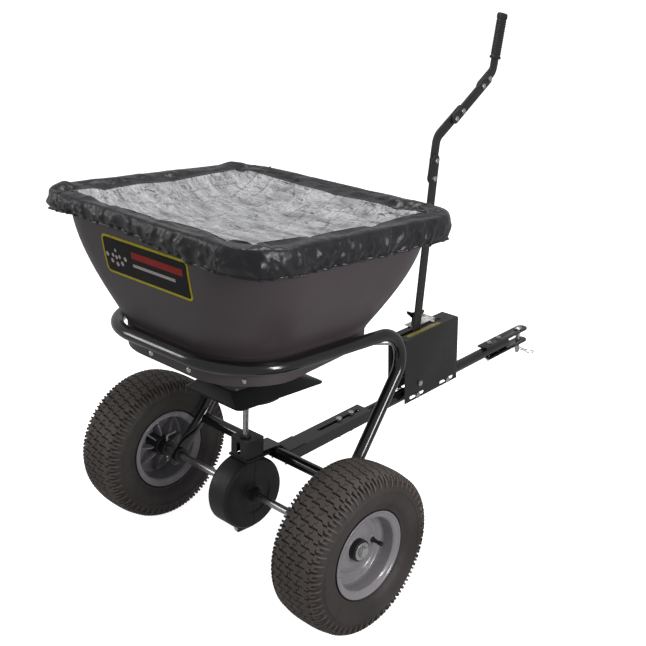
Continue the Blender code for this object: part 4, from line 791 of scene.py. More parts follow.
def rim_ribs():
    """Tapered fins between the hub and the barrel, on the rim's inner side."""
    fins = []
    for number in range(RIM_FINS):
        outline = [
            (HUB_TUBE - 0.001, 0.0100), (HUB_TUBE - 0.001, -0.0200), (0.0300, -0.0200), (RIM_BARREL, 0.0050)
        ]
        fin = plate(outline, [], -RIM_FIN_HALF, RIM_FIN_HALF, EDGE)
        fin.transform(Matrix.Rotation(math.pi / 2, 4, "X"))
        fin.transform(Matrix.Rotation(2 * math.pi * number / RIM_FINS, 4, "Z"))
        fins.append(fin)
    return join(fins)


def hub_tube():
    """The dark tube through the web."""
    low, high = HUB_REACH
    return ring_of([(HUB_TUBE, low, 0), (HUB_TUBE, high, 0), (HUB_BORE, high, 0), (HUB_BORE, low, 0)], 0.0008)


def valve():
    """A rubber valve stem with a plain cap, on its foot."""
    profile = [
        (0.0002, 0.0), (0.0062, 0.0), (0.0056, 0.0022), (0.0042, 0.0036), (0.0038, 0.0110),
        (0.0030, 0.0120), (0.0030, 0.0158), (0.0045, 0.0162), (0.0045, 0.0245), (0.0036, 0.0262),
        (0.0002, 0.0264),
    ]
    return turned(profile, False, 24)


def hex_ring(across_flats, height, chamfer=0.0, sides=48):
    """A hexagon as a ring of points, its corners turned down by a 30 degree chamfer."""
    half = across_flats / 2
    sector = math.pi / 3
    ring = []
    for k in range(sides):
        angle = 2 * math.pi * k / sides
        from_flat = (angle + sector / 2) % sector - sector / 2
        reach = half / math.cos(from_flat)
        drop = chamfer * (reach - half * 0.98) * math.tan(math.radians(30))
        ring.append(Vector((reach * math.cos(angle), reach * math.sin(angle), height - drop)))
    return ring


def hex_head(across_flats, height, base=0.0):
    """A hexagon head with a turned top, standing on its washer face."""
    half = across_flats / 2
    rings = [
        circle(half * 0.94, base, 48),
        circle(half * 0.94, base + 0.0003, 48),
        hex_ring(across_flats, base + 0.0003),
        hex_ring(across_flats, base + height, 1.0),
        circle(half * 0.95, base + height + 0.0001, 48),
        circle(half * 0.60, base + height - 0.0002, 48),
    ]
    return loft(rings, False)


def stud(radius, low, high):
    """A bolt's shank with a chamfered end at the bottom."""
    return turned([(radius * 0.8, low), (radius, low + radius * 0.25), (radius, high)], False, 32)


def hex_nut(across_flats, top, height):
    """A nut hanging under a height."""
    rings = [
        circle(across_flats * 0.47, top, 48),
        hex_ring(across_flats, top - 0.0002),
        [Vector((p.x, p.y, 2 * (top - height) - p.z)) for p in hex_ring(across_flats, top - height, 1.0)],
        circle(across_flats * 0.42, top - height, 48),
    ]
    return loft(rings, False)


def bolt(across_flats, head, shank, grip, nut):
    """A bolt up local Z: nut under 0, head above the grip."""
    parts = [hex_head(across_flats, head, grip)]
    if nut:
        parts += [hex_nut(across_flats, 0, nut), stud(shank, -nut - shank, grip)]
    else:
        parts.append(stud(shank, 0, grip))
    return join(parts)


def make_wheel(side, aim, sign, axle_body, wheel_body):
    """Everything that turns with one wheel."""
    low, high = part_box(f"rim_{side}")
    centre_x = (low.x + high.x) / 2
    place = at((centre_x, 0, 0), aim, PITCHED)
    # The carcass takes the darker copy of the rubber: painted shade on its sidewalls and in the grooves
    # between tread blocks.
    piece(
        f"tyre_{side}_carcass", carcass(), SHADED_CARCASS_RUBBER, wheel_body, place,
        [f"tyre_{side}"]
    )
    parts = [tread_block(row, n) for row in range(TREAD_ROWS) for n in range(TREAD_BLOCKS)]
    parts += [shoulder_lug(n, face) for face in (-1, 1) for n in range(2 * TREAD_BLOCKS)]
    piece(f"tyre_{side}_tread", join(parts), LIT_TREAD_RUBBER, wheel_body, place)
    piece(f"rim_{side}_painted", rim(), RIM_PAINT, wheel_body, place, [f"rim_{side}"])
    piece(f"rim_{side}_ribs", rim_ribs(), RIM_PAINT, wheel_body, place)
    piece(f"hub_tube_{side}", hub_tube(), HUB_PLASTIC, wheel_body, place)

    inner = -0.0460 if side == "left" else HUB_REACH[0] - 0.004
    bore, collar, sleeve = 0.0084, 0.0175, HUB_BORE - 0.0008
    face = HUB_REACH[0] - 0.0004
    outline = [(bore, inner, 0), (collar, inner, 0), (collar, face, 0), (sleeve, face, 0)]
    outline += [(sleeve, HUB_REACH[1], 0), (bore, HUB_REACH[1], 0)]
    piece(
        f"hub_{side}_bush", ring_of(outline, 0.0005), HUB_PLASTIC, wheel_body, place,
        [f"hub_{side}"]
    )

    boss = turned(
        [(0.0002, 0.0085), (0.0130, 0.0085), (0.0118, 0.0118), (0.0085, 0.0130), (0.0002, 0.0131)], False
    )
    spot = place @ Matrix.Translation((0, VALVE_RADIUS, 0))
    piece(f"valve_boss_{side}", boss, RIM_PAINT, wheel_body, spot)
    seat = place @ Matrix.Translation((0, VALVE_RADIUS, 0.0130))
    piece(f"valve_{side}", valve(), VALVE_RUBBER, wheel_body, seat, [f"valve_stem_{side}"])

    washer = [(0.0055, 0.0004, 0), (0.018, 0.0004, 0), (0.018, 0.0024, 0), (0.0055, 0.0024, 0)]
    end = at((centre_x + sign * HUB_REACH[1], 0, 0), aim, PITCHED)
    piece(f"washer_{side}", ring_of(washer, 0.0004), ZINC, axle_body, end, [f"hub_washer_{side}"])
    screw = join([hex_head(0.019, 0.0072, 0.0028), stud(0.005, -0.020, 0.0028)])
    piece(f"wheel_bolt_{side}", screw, ZINC, axle_body, end, [f"hub_bolt_{side}"])


def make_axle():
    """The axle and the pin that drives the left wheel."""
    low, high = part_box("axle")
    reach = high.x
    shaft = turned(
        [(0.0068, -reach), (0.008, -reach + 0.0012), (0.008, reach - 0.0012), (0.0068, reach)], False
    )
    piece("axle_shaft", shaft, STEEL, "drive_axle", at((0, 0, 0), "x", PITCHED), ["axle"])
    low, high = box_in("drive_pin", PITCHED)
    middle = (low.x + high.x) / 2
    path = rounded_path([(0, 0, low.z), (0, 0, 0.030), (0, high.y - 0.0025, high.z - 0.0026)], [0.005], 10)
    pin = tube(path, 0.0025, sides=20)
    place = PITCHED @ Matrix.Translation((middle, 0, 0))
    piece("wheel_drive_pin", pin, ZINC, "drive_axle", place, ["drive_pin"])


# ---------------------------------------------------------------------------------------- frame
def tail_section(distance, length):
    """The frame tube's radii: pressed flat at both tails, round between them."""
    share = (min(distance, length - distance) - TAIL_FLAT) / TAIL_FLAT
    share = min(max(share, 0.0), 1.0)
    share = share * share * (3 - 2 * share)
    return tuple(half + share * (TUBE - half) for half in TAIL_HALF)


def with_more_points(path, longest):
    """The path with its long runs divided."""
    result = [path[0]]
    for a, b in zip(path, path[1:]):
        count = max(1, math.ceil((b - a).length / longest))
        result += [a.lerp(b, (k + 1) / count) for k in range(count)]
    return result


def rounded_tail(distance, length):
    """Draws the flattened ends in to a round outline over their last few millimetres."""
    thick, wide = tail_section(distance, length)
    end = min(distance, length - distance)
    if end < wide:
        wide = max(0.004, math.sqrt(max(wide * wide - (wide - end) ** 2, 0)))
    return thick, wide


def make_frame():
    """The bent frame tube, cross tube, bolts and axle bushings."""
    x = RING_HALF_WIDTH
    left = [(-x, *TAIL_END), (-x, 0, 0), (-x, *LEG_KINK), (-x, *FRONT_BEND), (-x, RING_REAR, RING_HEIGHT)]
    right = [(-px, along, up) for px, along, up in reversed(left)]
    radii = [0.030, 0.060, 0.062, RING_CORNER]
    path = rounded_path(left + right, radii + radii[::-1], 4)
    path = with_more_points(path, 0.006)
    bent = sweep(path, rounded_tail, (1, 0, 0), 40)
    piece("frame_tube_bent", bent, GLOSS_BLACK, "frame", PITCHED, ["frame_tube"])

    end = x - TUBE - 0.0006
    cross = turned(
        [(TUBE - 0.0008, -end), (TUBE, -end + 0.0008), (TUBE, end - 0.0008), (TUBE - 0.0008, end)], False
    )
    place = at((0, *CROSS_TUBE), "x", PITCHED)
    piece("cross_tube_round", cross, GLOSS_BLACK, "frame", place, ["cross_tube"])
    for side, sign, aim in (("left", -1, "-x"), ("right", 1, "x")):
        spot = at((sign * (x + TUBE + 0.0004), *CROSS_TUBE), aim, PITCHED)
        screw = join([hex_head(0.013, 0.0035), stud(0.004, -0.045, 0)])
        piece(f"cross_bolt_{side}", screw, ZINC, "frame", spot, [f"cross_tube_bolt_{side}"])
        outline = [(0.0084, 0.0044, 0), (0.0122, 0.0044, 0), (0.0122, -0.0044, 0), (0.0165, -0.0044, 0)]
        outline += [(0.0165, -0.0104, 0), (0.0084, -0.0104, 0)]
        spot = at((sign * x, 0, 0), aim, PITCHED)
        bush = ring_of(outline, 0.0006)
        piece(f"bushing_{side}", bush, NYLON_BUSH, "frame", spot, [f"axle_bushing_{side}"])


# --------------------------------------------------------------------------------------- hopper
def hopper_share(height):
    """0 at the hopper's base and 1 at its rim, along the curve of its sides."""
    low, high = HOPPER_HEIGHTS
    return math.sin(math.pi / 2 * min(max((height - low) / (high - low), 0.0), 1.0))


def hopper_ring(height, inset=0.0):
    """The hopper's outline at a height."""
    share = hopper_share(height)
    half = [b + share * (t - b) - inset for b, t in zip(HOPPER_BASE, HOPPER_RIM)]
    corner = HOPPER_CORNERS[0] + share * (HOPPER_CORNERS[1] - HOPPER_CORNERS[0])
    return rounded_rectangle(half, corner, height, runs=8)


def flat_ring(half_size, inset, corner, height):
    """A rounded rectangle drawn in on all sides."""
    return rounded_rectangle([half - inset for half in half_size], corner, height, runs=8)


def climbing(ring):
    """The skirt's lower edge: level at the back, and higher towards the front."""
    start, end = SKIRT_CLIMB
    for point in ring:
        share = min(max((point.y - start) / (end - start), 0.0), 1.0)
        point.z += share * SKIRT_CLIMB_HEIGHT
    return ring


def make_hopper():
    """The moulded hopper and its frame screws."""
    low, high = HOPPER_HEIGHTS
    lip_bottom = high - 0.008
    wall = HOPPER_WALL
    steps = 24
    heights = [low + (lip_bottom - low) * k / steps for k in range(steps + 1)]
    skirt = [half - 0.004 for half in HOPPER_BASE]
    corner = HOPPER_CORNERS[0]
    rings = [
        flat_ring(HOPPER_RIM, -HOPPER_LIP + 0.0015, HOPPER_LIP_CORNER, high),
        flat_ring(HOPPER_RIM, -HOPPER_LIP, HOPPER_LIP_CORNER, high - 0.0015),
        flat_ring(HOPPER_RIM, -HOPPER_LIP, HOPPER_LIP_CORNER, lip_bottom + 0.001),
        flat_ring(HOPPER_RIM, -HOPPER_LIP + 0.001, HOPPER_LIP_CORNER, lip_bottom),
    ]
    rings += [hopper_ring(height) for height in reversed(heights)]
    rings += [
        flat_ring(HOPPER_BASE, 0.0008, corner, low - 0.0030),
        flat_ring(skirt, -0.0006, corner, low - 0.0050),
        climbing(flat_ring(skirt, 0, corner, SKIRT_BOTTOM + 0.001)),
        climbing(flat_ring(skirt, 0.001, corner, SKIRT_BOTTOM)),
        climbing(flat_ring(skirt, wall, corner - wall, SKIRT_BOTTOM)),
        flat_ring(skirt, wall, corner - wall, FLOOR_EDGE),
        flat_ring((OUTLET[0], OUTLET[0]), -wall, OUTLET[0], OUTLET[1] + 0.006),
        flat_ring((OUTLET[0], OUTLET[0]), -wall, OUTLET[0], OUTLET[1]),
        flat_ring((OUTLET[0], OUTLET[0]), 0, OUTLET[0], OUTLET[1]),
        flat_ring((OUTLET[0], OUTLET[0]), 0, OUTLET[0], OUTLET[1] + 0.006 + wall),
        flat_ring(skirt, wall, corner - wall, FLOOR_EDGE + wall),
    ]
    rings += [hopper_ring(height, wall) for height in heights]
    rings.append(flat_ring(HOPPER_RIM, wall, HOPPER_CORNERS[1] - wall, high))
    piece("hopper_shell", loft(rings, True), HOPPER_POLY, "frame", PITCHED, ["hopper"])

    for number, x in enumerate((-0.170, -0.045, 0.066, 0.170)):
        up = SKIRT_BOTTOM + SCREW_ABOVE_SKIRT
        back = -(HOPPER_BASE[1] - 0.004)
        over = abs(x) - (HOPPER_BASE[0] - 0.004 - corner)
        if over > 0:
            back += corner - math.sqrt(corner * corner - over * over)
        screw = turned(
            [(0.0002, 0.0032), (0.0025, 0.0031), (0.0050, 0.0018), (0.0060, 0.0), (0.0002, -0.001)], False,
            32
        )
        piece(f"skirt_screw_{number}", screw, ZINC, "frame", at((x, back, up), "-y", PITCHED))


def hopper_back(x, height, lift):
    """A point just off the hopper's rear face."""
    share = hopper_share(height)
    half_x = HOPPER_BASE[0] + share * (HOPPER_RIM[0] - HOPPER_BASE[0])
    half_y = HOPPER_BASE[1] + share * (HOPPER_RIM[1] - HOPPER_BASE[1])
    corner = HOPPER_CORNERS[0] + share * (HOPPER_CORNERS[1] - HOPPER_CORNERS[0])
    over = max(abs(x) - (half_x - corner), 0.0)
    back = half_y - corner + math.sqrt(corner * corner - over * over)
    return Vector((x, -back - lift, height))


def patch(low, high, lift, columns=40, rows=10, corner=0.0):
    """A thin sheet laid on the hopper's rear face between two (x, height) corners, rounded if asked."""
    mesh = bmesh.new()
    grid = []
    for r in range(rows + 1):
        height = low[1] + (high[1] - low[1]) * (1 - math.cos(math.pi * r / rows)) / 2
        into_corner = max(0.0, corner - min(height - low[1], high[1] - height))
        inset = corner - math.sqrt(max(corner * corner - into_corner * into_corner, 0.0))
        first, last = low[0] + inset, high[0] - inset
        line = [hopper_back(first + (last - first) * c / columns, height, lift) for c in range(columns + 1)]
        grid.append([mesh.verts.new(point) for point in line])
    for row, above in zip(grid, grid[1:]):
        for c in range(columns):
            mesh.faces.new((row[c], row[c + 1], above[c + 1], above[c]))
    bmesh.ops.solidify(mesh, geom=mesh.faces[:], thickness=0.00015)
    return mesh


def disc_on_back(centre, radius, lift, sides=24):
    """A printed dot on the rear face."""
    mesh = bmesh.new()
    middle = mesh.verts.new(hopper_back(*centre, lift))
    rim_verts = []
    for k in range(sides):
        angle = 2 * math.pi * k / sides
        x = centre[0] + radius * math.cos(angle)
        rim_verts.append(mesh.verts.new(hopper_back(x, centre[1] + radius * math.sin(angle), lift)))
    for k in range(sides):
        mesh.faces.new((middle, rim_verts[k], rim_verts[(k + 1) % sides]))
    bmesh.ops.solidify(mesh, geom=mesh.faces[:], thickness=0.0001)
    return mesh


def make_panel():
    """A generic printed panel: dark field, yellow edge, a fan of dots and plain bars."""
    (left, right), (bottom, top) = DECAL_SIDES, DECAL_HEIGHTS
    edge = DECAL_BORDER
    field = patch((left, bottom), (right, top), 0.0004, rows=36, corner=DECAL_CORNER)
    piece("panel_edge", field, YELLOW_PRINT, "frame", PITCHED)
    inset_corner = DECAL_CORNER - edge
    inner = patch(
        (left + edge, bottom + edge), (right - edge, top - edge), 0.0008, rows=36, corner=inset_corner
    )
    piece("panel_field", inner, DECAL_BLACK, "frame", PITCHED)
    middle = (bottom + top) / 2
    dots = []
    for ring_number, count in enumerate((1, 3, 5)):
        for k in range(count):
            angle = math.radians(-90 + (k - (count - 1) / 2) * 26)
            reach = 0.012 + 0.013 * ring_number
            spot = (
                -0.078 + 0.9 * reach * math.sin(angle + math.pi / 2),
                top - 0.014 - reach * abs(math.cos(angle + math.pi / 2))
            )
            dots.append(disc_on_back(spot, 0.0032 + 0.0006 * ring_number, 0.0012))
    piece("panel_dots", join(dots), WHITE_PRINT, "frame", PITCHED)
    bar = patch((-0.030, middle + 0.006), (right - 0.016, middle + 0.019), 0.0012, 24, 3)
    piece("panel_bar_upper", bar, RED_PRINT, "frame", PITCHED)
    bar = patch((-0.030, middle - 0.010), (right - 0.040, middle - 0.004), 0.0012, 24, 2)
    piece("panel_bar_lower", bar, WHITE_PRINT, "frame", PITCHED)


# ---------------------------------------------------------------------------------------- cover
def along_ring(half_size, corner, share):
    """A point of a rounded rectangle's outline, by its share of the way round from the +X side."""
    straight_x, straight_y = half_size[0] - corner, half_size[1] - corner
    bend = corner * math.pi / 2
    total = 4 * (straight_x + straight_y + bend)
    left = (share % 1.0) * total
    runs = (
        ("up", straight_y), ("bend", 0), ("left", 2 * straight_x), ("bend", 1), ("down", 2 * straight_y),
        ("bend", 2), ("right", 2 * straight_x), ("bend", 3), ("up_again", straight_y),
    )
    for kind, value in runs:
        length = bend if kind == "bend" else value
        if left <= length or kind == "up_again":
            break
        left -= length
    if kind == "bend":
        quarter = value
        centre_x = straight_x if quarter in (0, 3) else -straight_x
        centre_y = straight_y if quarter in (0, 1) else -straight_y
        angle = (quarter + left / bend) * math.pi / 2
        return centre_x + corner * math.cos(angle), centre_y + corner * math.sin(angle)
    if kind == "up":
        return half_size[0], left
    if kind == "left":
        return straight_x - left, half_size[1]
    if kind == "down":
        return -half_size[0], straight_y - left
    if kind == "right":
        return -straight_x + left, -half_size[1]
    return half_size[0], -straight_y + left


def square_ring(step):
    """The cells (column, row) of a square ring of the grid, from the +X side round."""
    if step == 0:
        return [(0, 0)]
    cells = [(step, k) for k in range(0, step)]
    cells += [(k, step) for k in range(step, -step, -1)]
    cells += [(-step, k) for k in range(step, -step, -1)]
    cells += [(k, -step) for k in range(-step, step)]
    cells += [(step, k) for k in range(-step, 0)]
    return cells


def cover_shape(share):
    """Half size, corner radius and height of the cover's ring: 0 is its middle and 1 its hem."""
    half_x, half_y = COVER_HALF
    if share <= WINDOW_SHARE:
        part = share / WINDOW_SHARE
        half = (WINDOW_HALF[0] * part, WINDOW_HALF[1] * part)
        return half, WINDOW_CORNER * part, COVER_CREST
    if share <= COVER_TOP_SHARE:
        part = (share - WINDOW_SHARE) / (COVER_TOP_SHARE - WINDOW_SHARE)
        half = [w + part * (h - COVER_EASE - w) for w, h in zip(WINDOW_HALF, COVER_HALF)]
        corner = WINDOW_CORNER + part * (COVER_CORNER - COVER_EASE - WINDOW_CORNER)
        return half, corner, COVER_CREST - COVER_SHOULDER_DROP * part ** 3
    part = (share - COVER_TOP_SHARE) / (1 - COVER_TOP_SHARE)
    shoulder = COVER_CREST - COVER_SHOULDER_DROP
    height = shoulder - part * (shoulder - COVER_HEM)
    tuck = 0.003 * max(0.0, part - 0.7) / 0.3
    return (half_x - tuck, half_y - tuck), COVER_CORNER - tuck, height


def folds(spot, size, seed):
    """Ridged noise from about -1 to 1: narrow crests between wide hollows, as in creased cloth."""
    first = noise.noise(spot / size + Vector((seed, 0, 0)))
    second = noise.noise(spot / (0.42 * size) + Vector((0, seed, 0)))
    return 1 - 2.4 * abs(first) - 0.9 * abs(second)


def outward_at(spot):
    """The level direction away from the hopper at a point of the cover's side."""
    reach = [max(abs(c) - (half - COVER_CORNER), 0.0) for c, half in zip(spot.xy, COVER_HALF)]
    away = Vector((math.copysign(reach[0], spot.x), math.copysign(reach[1], spot.y), 0))
    return away.normalized()


def creased(spot, share, round_share):
    """The point moved by the creases of the film, the top strip or the gathered side."""
    slant = Vector((0.34 * (spot.x + spot.y), spot.x - spot.y, 0))
    if share < WINDOW_SHARE:
        ease = min(1.0, (WINDOW_SHARE - share) / 0.06)
        lift = FILM_FOLD * ease * (0.6 * folds(slant, 0.085, 3.1) + 0.4 * folds(spot, 0.11, 8.7))
        return spot + Vector((0, 0, lift))
    if share < COVER_TOP_SHARE:
        across = (share - WINDOW_SHARE) / (COVER_TOP_SHARE - WINDOW_SHARE)
        puff = STRIP_PUFF * math.sin(math.pi * min(1.0, 0.85 * across))
        return spot + Vector((0, 0, puff + STRIP_FOLD * folds(spot, 0.05, 5.3)))
    down = (share - COVER_TOP_SHARE) / (1 - COVER_TOP_SHARE)
    around = 2 * math.pi * round_share
    ring_spot = Vector((math.cos(around), math.sin(around), 0.10 * down)) * 1.9
    gather = max(0.0, folds(ring_spot, 0.13, 1.7))
    crumple = 0.35 * folds(spot, 0.034, 6.1)
    puff = math.sin(math.pi * min(1.0, down * 1.05))
    out = GATHER_DEPTH * (gather * down ** 0.7 + crumple * puff + 0.45 * puff)
    wave = HEM_WAVE * down * noise.noise(ring_spot * 6)
    away = outward_at(spot)
    arch = max(0.0, 1 - ((spot.x - HEM_HIGH_POINT) / HEM_RISE_REACH) ** 2)
    rise = HEM_RISE * down * abs(away.y) * arch
    return spot + max(out, 0.0) * away + Vector((0, 0, wave + rise))


def cover_grid():
    """The cover's cloth as one grid, with the ring number of each point."""
    mesh = bmesh.new()
    ring_of_point = {}
    cells = {}
    for step in range(COVER_RINGS + 1):
        ring = square_ring(step)
        half, corner, height = cover_shape(step / COVER_RINGS)
        for k, cell in enumerate(ring):
            x, y = along_ring(half, corner, k / len(ring)) if step else (0.0, 0.0)
            spot = creased(Vector((x, y, height)), step / COVER_RINGS, k / max(1, len(ring)))
            vert = mesh.verts.new(spot)
            cells[cell] = vert
            ring_of_point[cell] = step
    for (column, row), vert in cells.items():
        corners = [
            cells.get(c) for c in ((column, row), (column + 1, row), (column + 1, row + 1), (column, row + 1))
        ]
        if all(corners):
            mesh.faces.new(corners)
    mesh.verts.index_update()
    rings = [0] * len(mesh.verts)
    for cell, vert in cells.items():
        rings[vert.index] = ring_of_point[cell]
    return mesh, rings


def settle_cover(thing, rings):
    """Lets the slightly oversize cloth crumple, held at its hem, seam and shoulder."""
    seam = round(COVER_RINGS * WINDOW_SHARE)
    shoulder = round(COVER_RINGS * COVER_TOP_SHARE)
    group = thing.vertex_groups.new(name="held")
    loose = thing.vertex_groups.new(name="slack")
    for index, ring in enumerate(rings):
        if ring >= COVER_RINGS - 1:
            group.add([index], 1.0, "REPLACE")
        elif ring == shoulder:
            group.add([index], 0.9, "REPLACE")
        elif ring == seam:
            group.add([index], 0.25, "REPLACE")
        loose.add([index], 1.0 if ring < shoulder else 0.7, "REPLACE")
    cloth = thing.modifiers.new("cloth", "CLOTH")
    settings = cloth.settings
    settings.quality = 7
    settings.mass = 0.12
    settings.tension_stiffness = 40
    settings.compression_stiffness = 40
    settings.shear_stiffness = 12
    settings.bending_stiffness = 0.9
    settings.vertex_group_mass = "held"
    settings.pin_stiffness = 1.0
    settings.vertex_group_shrink = "slack"
    settings.shrink_min = 0.0
    settings.shrink_max = -0.045
    settings.effector_weights.gravity = 0.35
    cloth.collision_settings.use_collision = False
    cloth.collision_settings.use_self_collision = False
    cloth.point_cache.frame_end = COVER_FRAMES
    scene = bpy.context.scene
    for number in range(1, COVER_FRAMES + 1):
        scene.frame_set(number)
    graph = bpy.context.evaluated_depsgraph_get()
    settled = bpy.data.meshes.new_from_object(thing.evaluated_get(graph))
    scene.frame_set(1)
    thing.modifiers.clear()
    return settled


def cover_part(settled, rings, keep, name, thickness):
    """The part of the settled cloth between two rings, thickened."""
    mesh = bmesh.new()
    mesh.from_mesh(settled)
    mesh.verts.ensure_lookup_table()
    numbers = {vert: rings[vert.index] for vert in mesh.verts}
    away = [
        f for f in mesh.faces if not keep(min(numbers[v] for v in f.verts), max(numbers[v] for v in f.verts))
    ]
    bmesh.ops.delete(mesh, geom=away, context="FACES")
    bmesh.ops.recalc_face_normals(mesh, faces=mesh.faces)
    data = bpy.data.meshes.new(name)
    mesh.to_mesh(data)
    mesh.free()
    data.shade_smooth()
    thing = bpy.data.objects.new(name, data)
    bpy.context.scene.collection.objects.link(thing)
    smooth = thing.modifiers.new("smooth", "SUBSURF")
    smooth.levels = 1
    smooth.render_levels = 1
    thick = thing.modifiers.new("thick", "SOLIDIFY")
    thick.thickness = thickness
    thick.offset = 0.0
    return thing


def first_of_ring(number):
    """The index of a ring's first point in the cover's cloth."""
    return sum(len(square_ring(step)) for step in range(number))


def corner_seam(settled, share):
    """A stitched line down the band at one place round it, as a tube."""
    seam = round(COVER_RINGS * WINDOW_SHARE)
    path = []
    for step in range(seam, COVER_RINGS + 1):
        count = len(square_ring(step))
        spot = settled.vertices[first_of_ring(step) + round(share * count) % count].co.copy()
        path.append(spot + 0.0006 * outward_at(spot) + Vector((0, 0, 0.0006)))
    return tube(path, 0.0010, (0, 0, 1), 8)


def seam_cord(settled, number, radius, lift):
    """A stitched edge that follows one ring of the settled cloth."""
    cells = square_ring(number)
    first = first_of_ring(number)
    points = [settled.vertices[first + k].co.copy() for k in range(len(cells))]
    points = [p + Vector((0, 0, lift)) for p in points]
    rings_of_points = []
    count = len(points)
    for k, point in enumerate(points):
        along = (points[(k + 1) % count] - points[k - 1]).normalized()
        side = along.cross(Vector((0, 0, 1))).normalized()
        up = side.cross(along)
        turn = [2 * math.pi * n / 8 for n in range(8)]
        rings_of_points.append([point + radius * (side * math.cos(a) + up * math.sin(a)) for a in turn])
    return loft(rings_of_points, True)


def make_cover():
    """The rain cover: a black nylon band with an elastic hem and a film panel whose cloudy tone is partly
    painted shade in its hollows.
    """
    mesh, rings = cover_grid()
    data = bpy.data.meshes.new("cover_cloth")
    mesh.to_mesh(data)
    mesh.free()
    cloth = bpy.data.objects.new("cover_cloth", data)
    bpy.context.scene.collection.objects.link(cloth)
    cloth.matrix_world = PITCHED
    bpy.context.view_layer.update()
    settled = settle_cover(cloth, rings)
    bpy.data.objects.remove(cloth)
    seam = round(COVER_RINGS * WINDOW_SHARE)

    band = cover_part(settled, rings, lambda low, high: low >= seam, "rain_cover_band", 0.0014)
    film = cover_part(settled, rings, lambda low, high: high <= seam, "rain_cover_film", 0.0008)
    for thing, material, slot, node in (
        (band, COVER_NYLON, "cover_fabric", "rain_cover"),
        (film, WINDOW_VINYL, "cover_window", "rain_cover_window"),
    ):
        thing.matrix_world = PITCHED
        thing.data.transform(PITCHED)
        thing.matrix_world = Matrix.Identity(4)
        thing.data.materials.append(material)
        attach(thing, "cover")
        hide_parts(node)
    hem = seam_cord(settled, COVER_RINGS, 0.0026, 0.0)
    hem = piece("rain_cover_hem", hem, COVER_NYLON, "cover", PITCHED)
    piping = seam_cord(settled, seam, 0.0011, 0.0006)
    piping = piece("rain_cover_piping", piping, THREAD, "cover", PITCHED)
    seams = join([corner_seam(settled, share) for share in CORNER_SEAMS])
    seams = piece("rain_cover_seams", seams, THREAD, "cover", PITCHED)


# ------------------------------------------------------------------------------- spreading gear
def keep_cad(node, material, width=EDGE):
    """Shows a CAD node as it is, with eased edges and its own finish."""
    thing = frame["nodes"][node]
    thing.data.materials.clear()
    thing.data.materials.append(material)
    if width > 0:
        ease = thing.modifiers.new("ease", "BEVEL")
        ease.width = width
        ease.segments = 2
        ease.limit_method = "ANGLE"
        ease.angle_limit = math.radians(40)
        ease.harden_normals = False
    return thing


def make_hood():
    """The shallow deflector under the shutter guide, with its rolled rim."""
    rim_half, top_half = (0.086, 0.117), (0.050, 0.075)
    wall = 0.003
    centre = 0.023
    levels = [
        (rim_half, 0.0, 0.232, centre, 0.014),
        (rim_half, 0.0006, 0.2325, centre, 0.014),
        (rim_half, 0.004, 0.2345, centre, 0.014),
        (top_half, -0.006, 0.2545, 0.0, 0.012),
        (top_half, -0.001, 0.2572, 0.0, 0.011),
        (top_half, 0.0, 0.2600, 0.0, 0.010),
        (top_half, 0.0, 0.2685, 0.0, 0.010),
        (top_half, wall, 0.2685, 0.0, 0.008),
        (top_half, wall, 0.2540, 0.0, 0.008),
        (rim_half, 0.006, 0.2318, centre, 0.010),
        (rim_half, wall, 0.2305, centre, 0.012),
        (rim_half, 0.001, 0.2305, centre, 0.013),
    ]
    rings = [
        rounded_rectangle([half - inset for half in size], corner, height, shift, 8, 6)
        for size, inset, height, shift, corner in levels
    ]
    piece(
        "deflector", loft(rings, True), BLACK_PLASTIC, "frame", PITCHED, ["deflector_hood"]
    )


def make_rod():
    """The rod from the shutter to the lever."""
    low, high = box_in("control_rod", PITCHED)
    plate_low, plate_high = box_in("shutter_plate", PITCHED)
    rear = plate_high.y - 0.007
    corners = [
        (0, rear, plate_low.z - 0.006),
        (0, rear, plate_low.z + 0.012),
        (0.009, rear + 0.060, plate_low.z + 0.006),
        (0.012, high.y - 0.0034, low.z + 0.0032),
        (0.0040, high.y - 0.0030, low.z + 0.0032),
    ]
    path = rounded_path(corners, [0.006, 0.040, 0.003], 8)
    rod = tube(path, ROD_RADIUS, sides=24)
    piece("control_rod_round", rod, ZINC, "shutter", PITCHED, ["control_rod"])


def half_of(mesh, keep_front):
    """Cuts a closed mesh at the plane through local Z and Y=0 and closes the cut."""
    sign = 1 if keep_front else -1
    parts = [*mesh.verts, *mesh.edges, *mesh.faces]
    cut = bmesh.ops.bisect_plane(
        mesh, geom=parts, plane_co=(0, sign * 0.0003, 0), plane_no=(0, -sign, 0), clear_outer=True
    )
    edges = [item for item in cut["geom_cut"] if isinstance(item, bmesh.types.BMEdge)]
    bmesh.ops.holes_fill(mesh, edges=edges, sides=0)
    return mesh


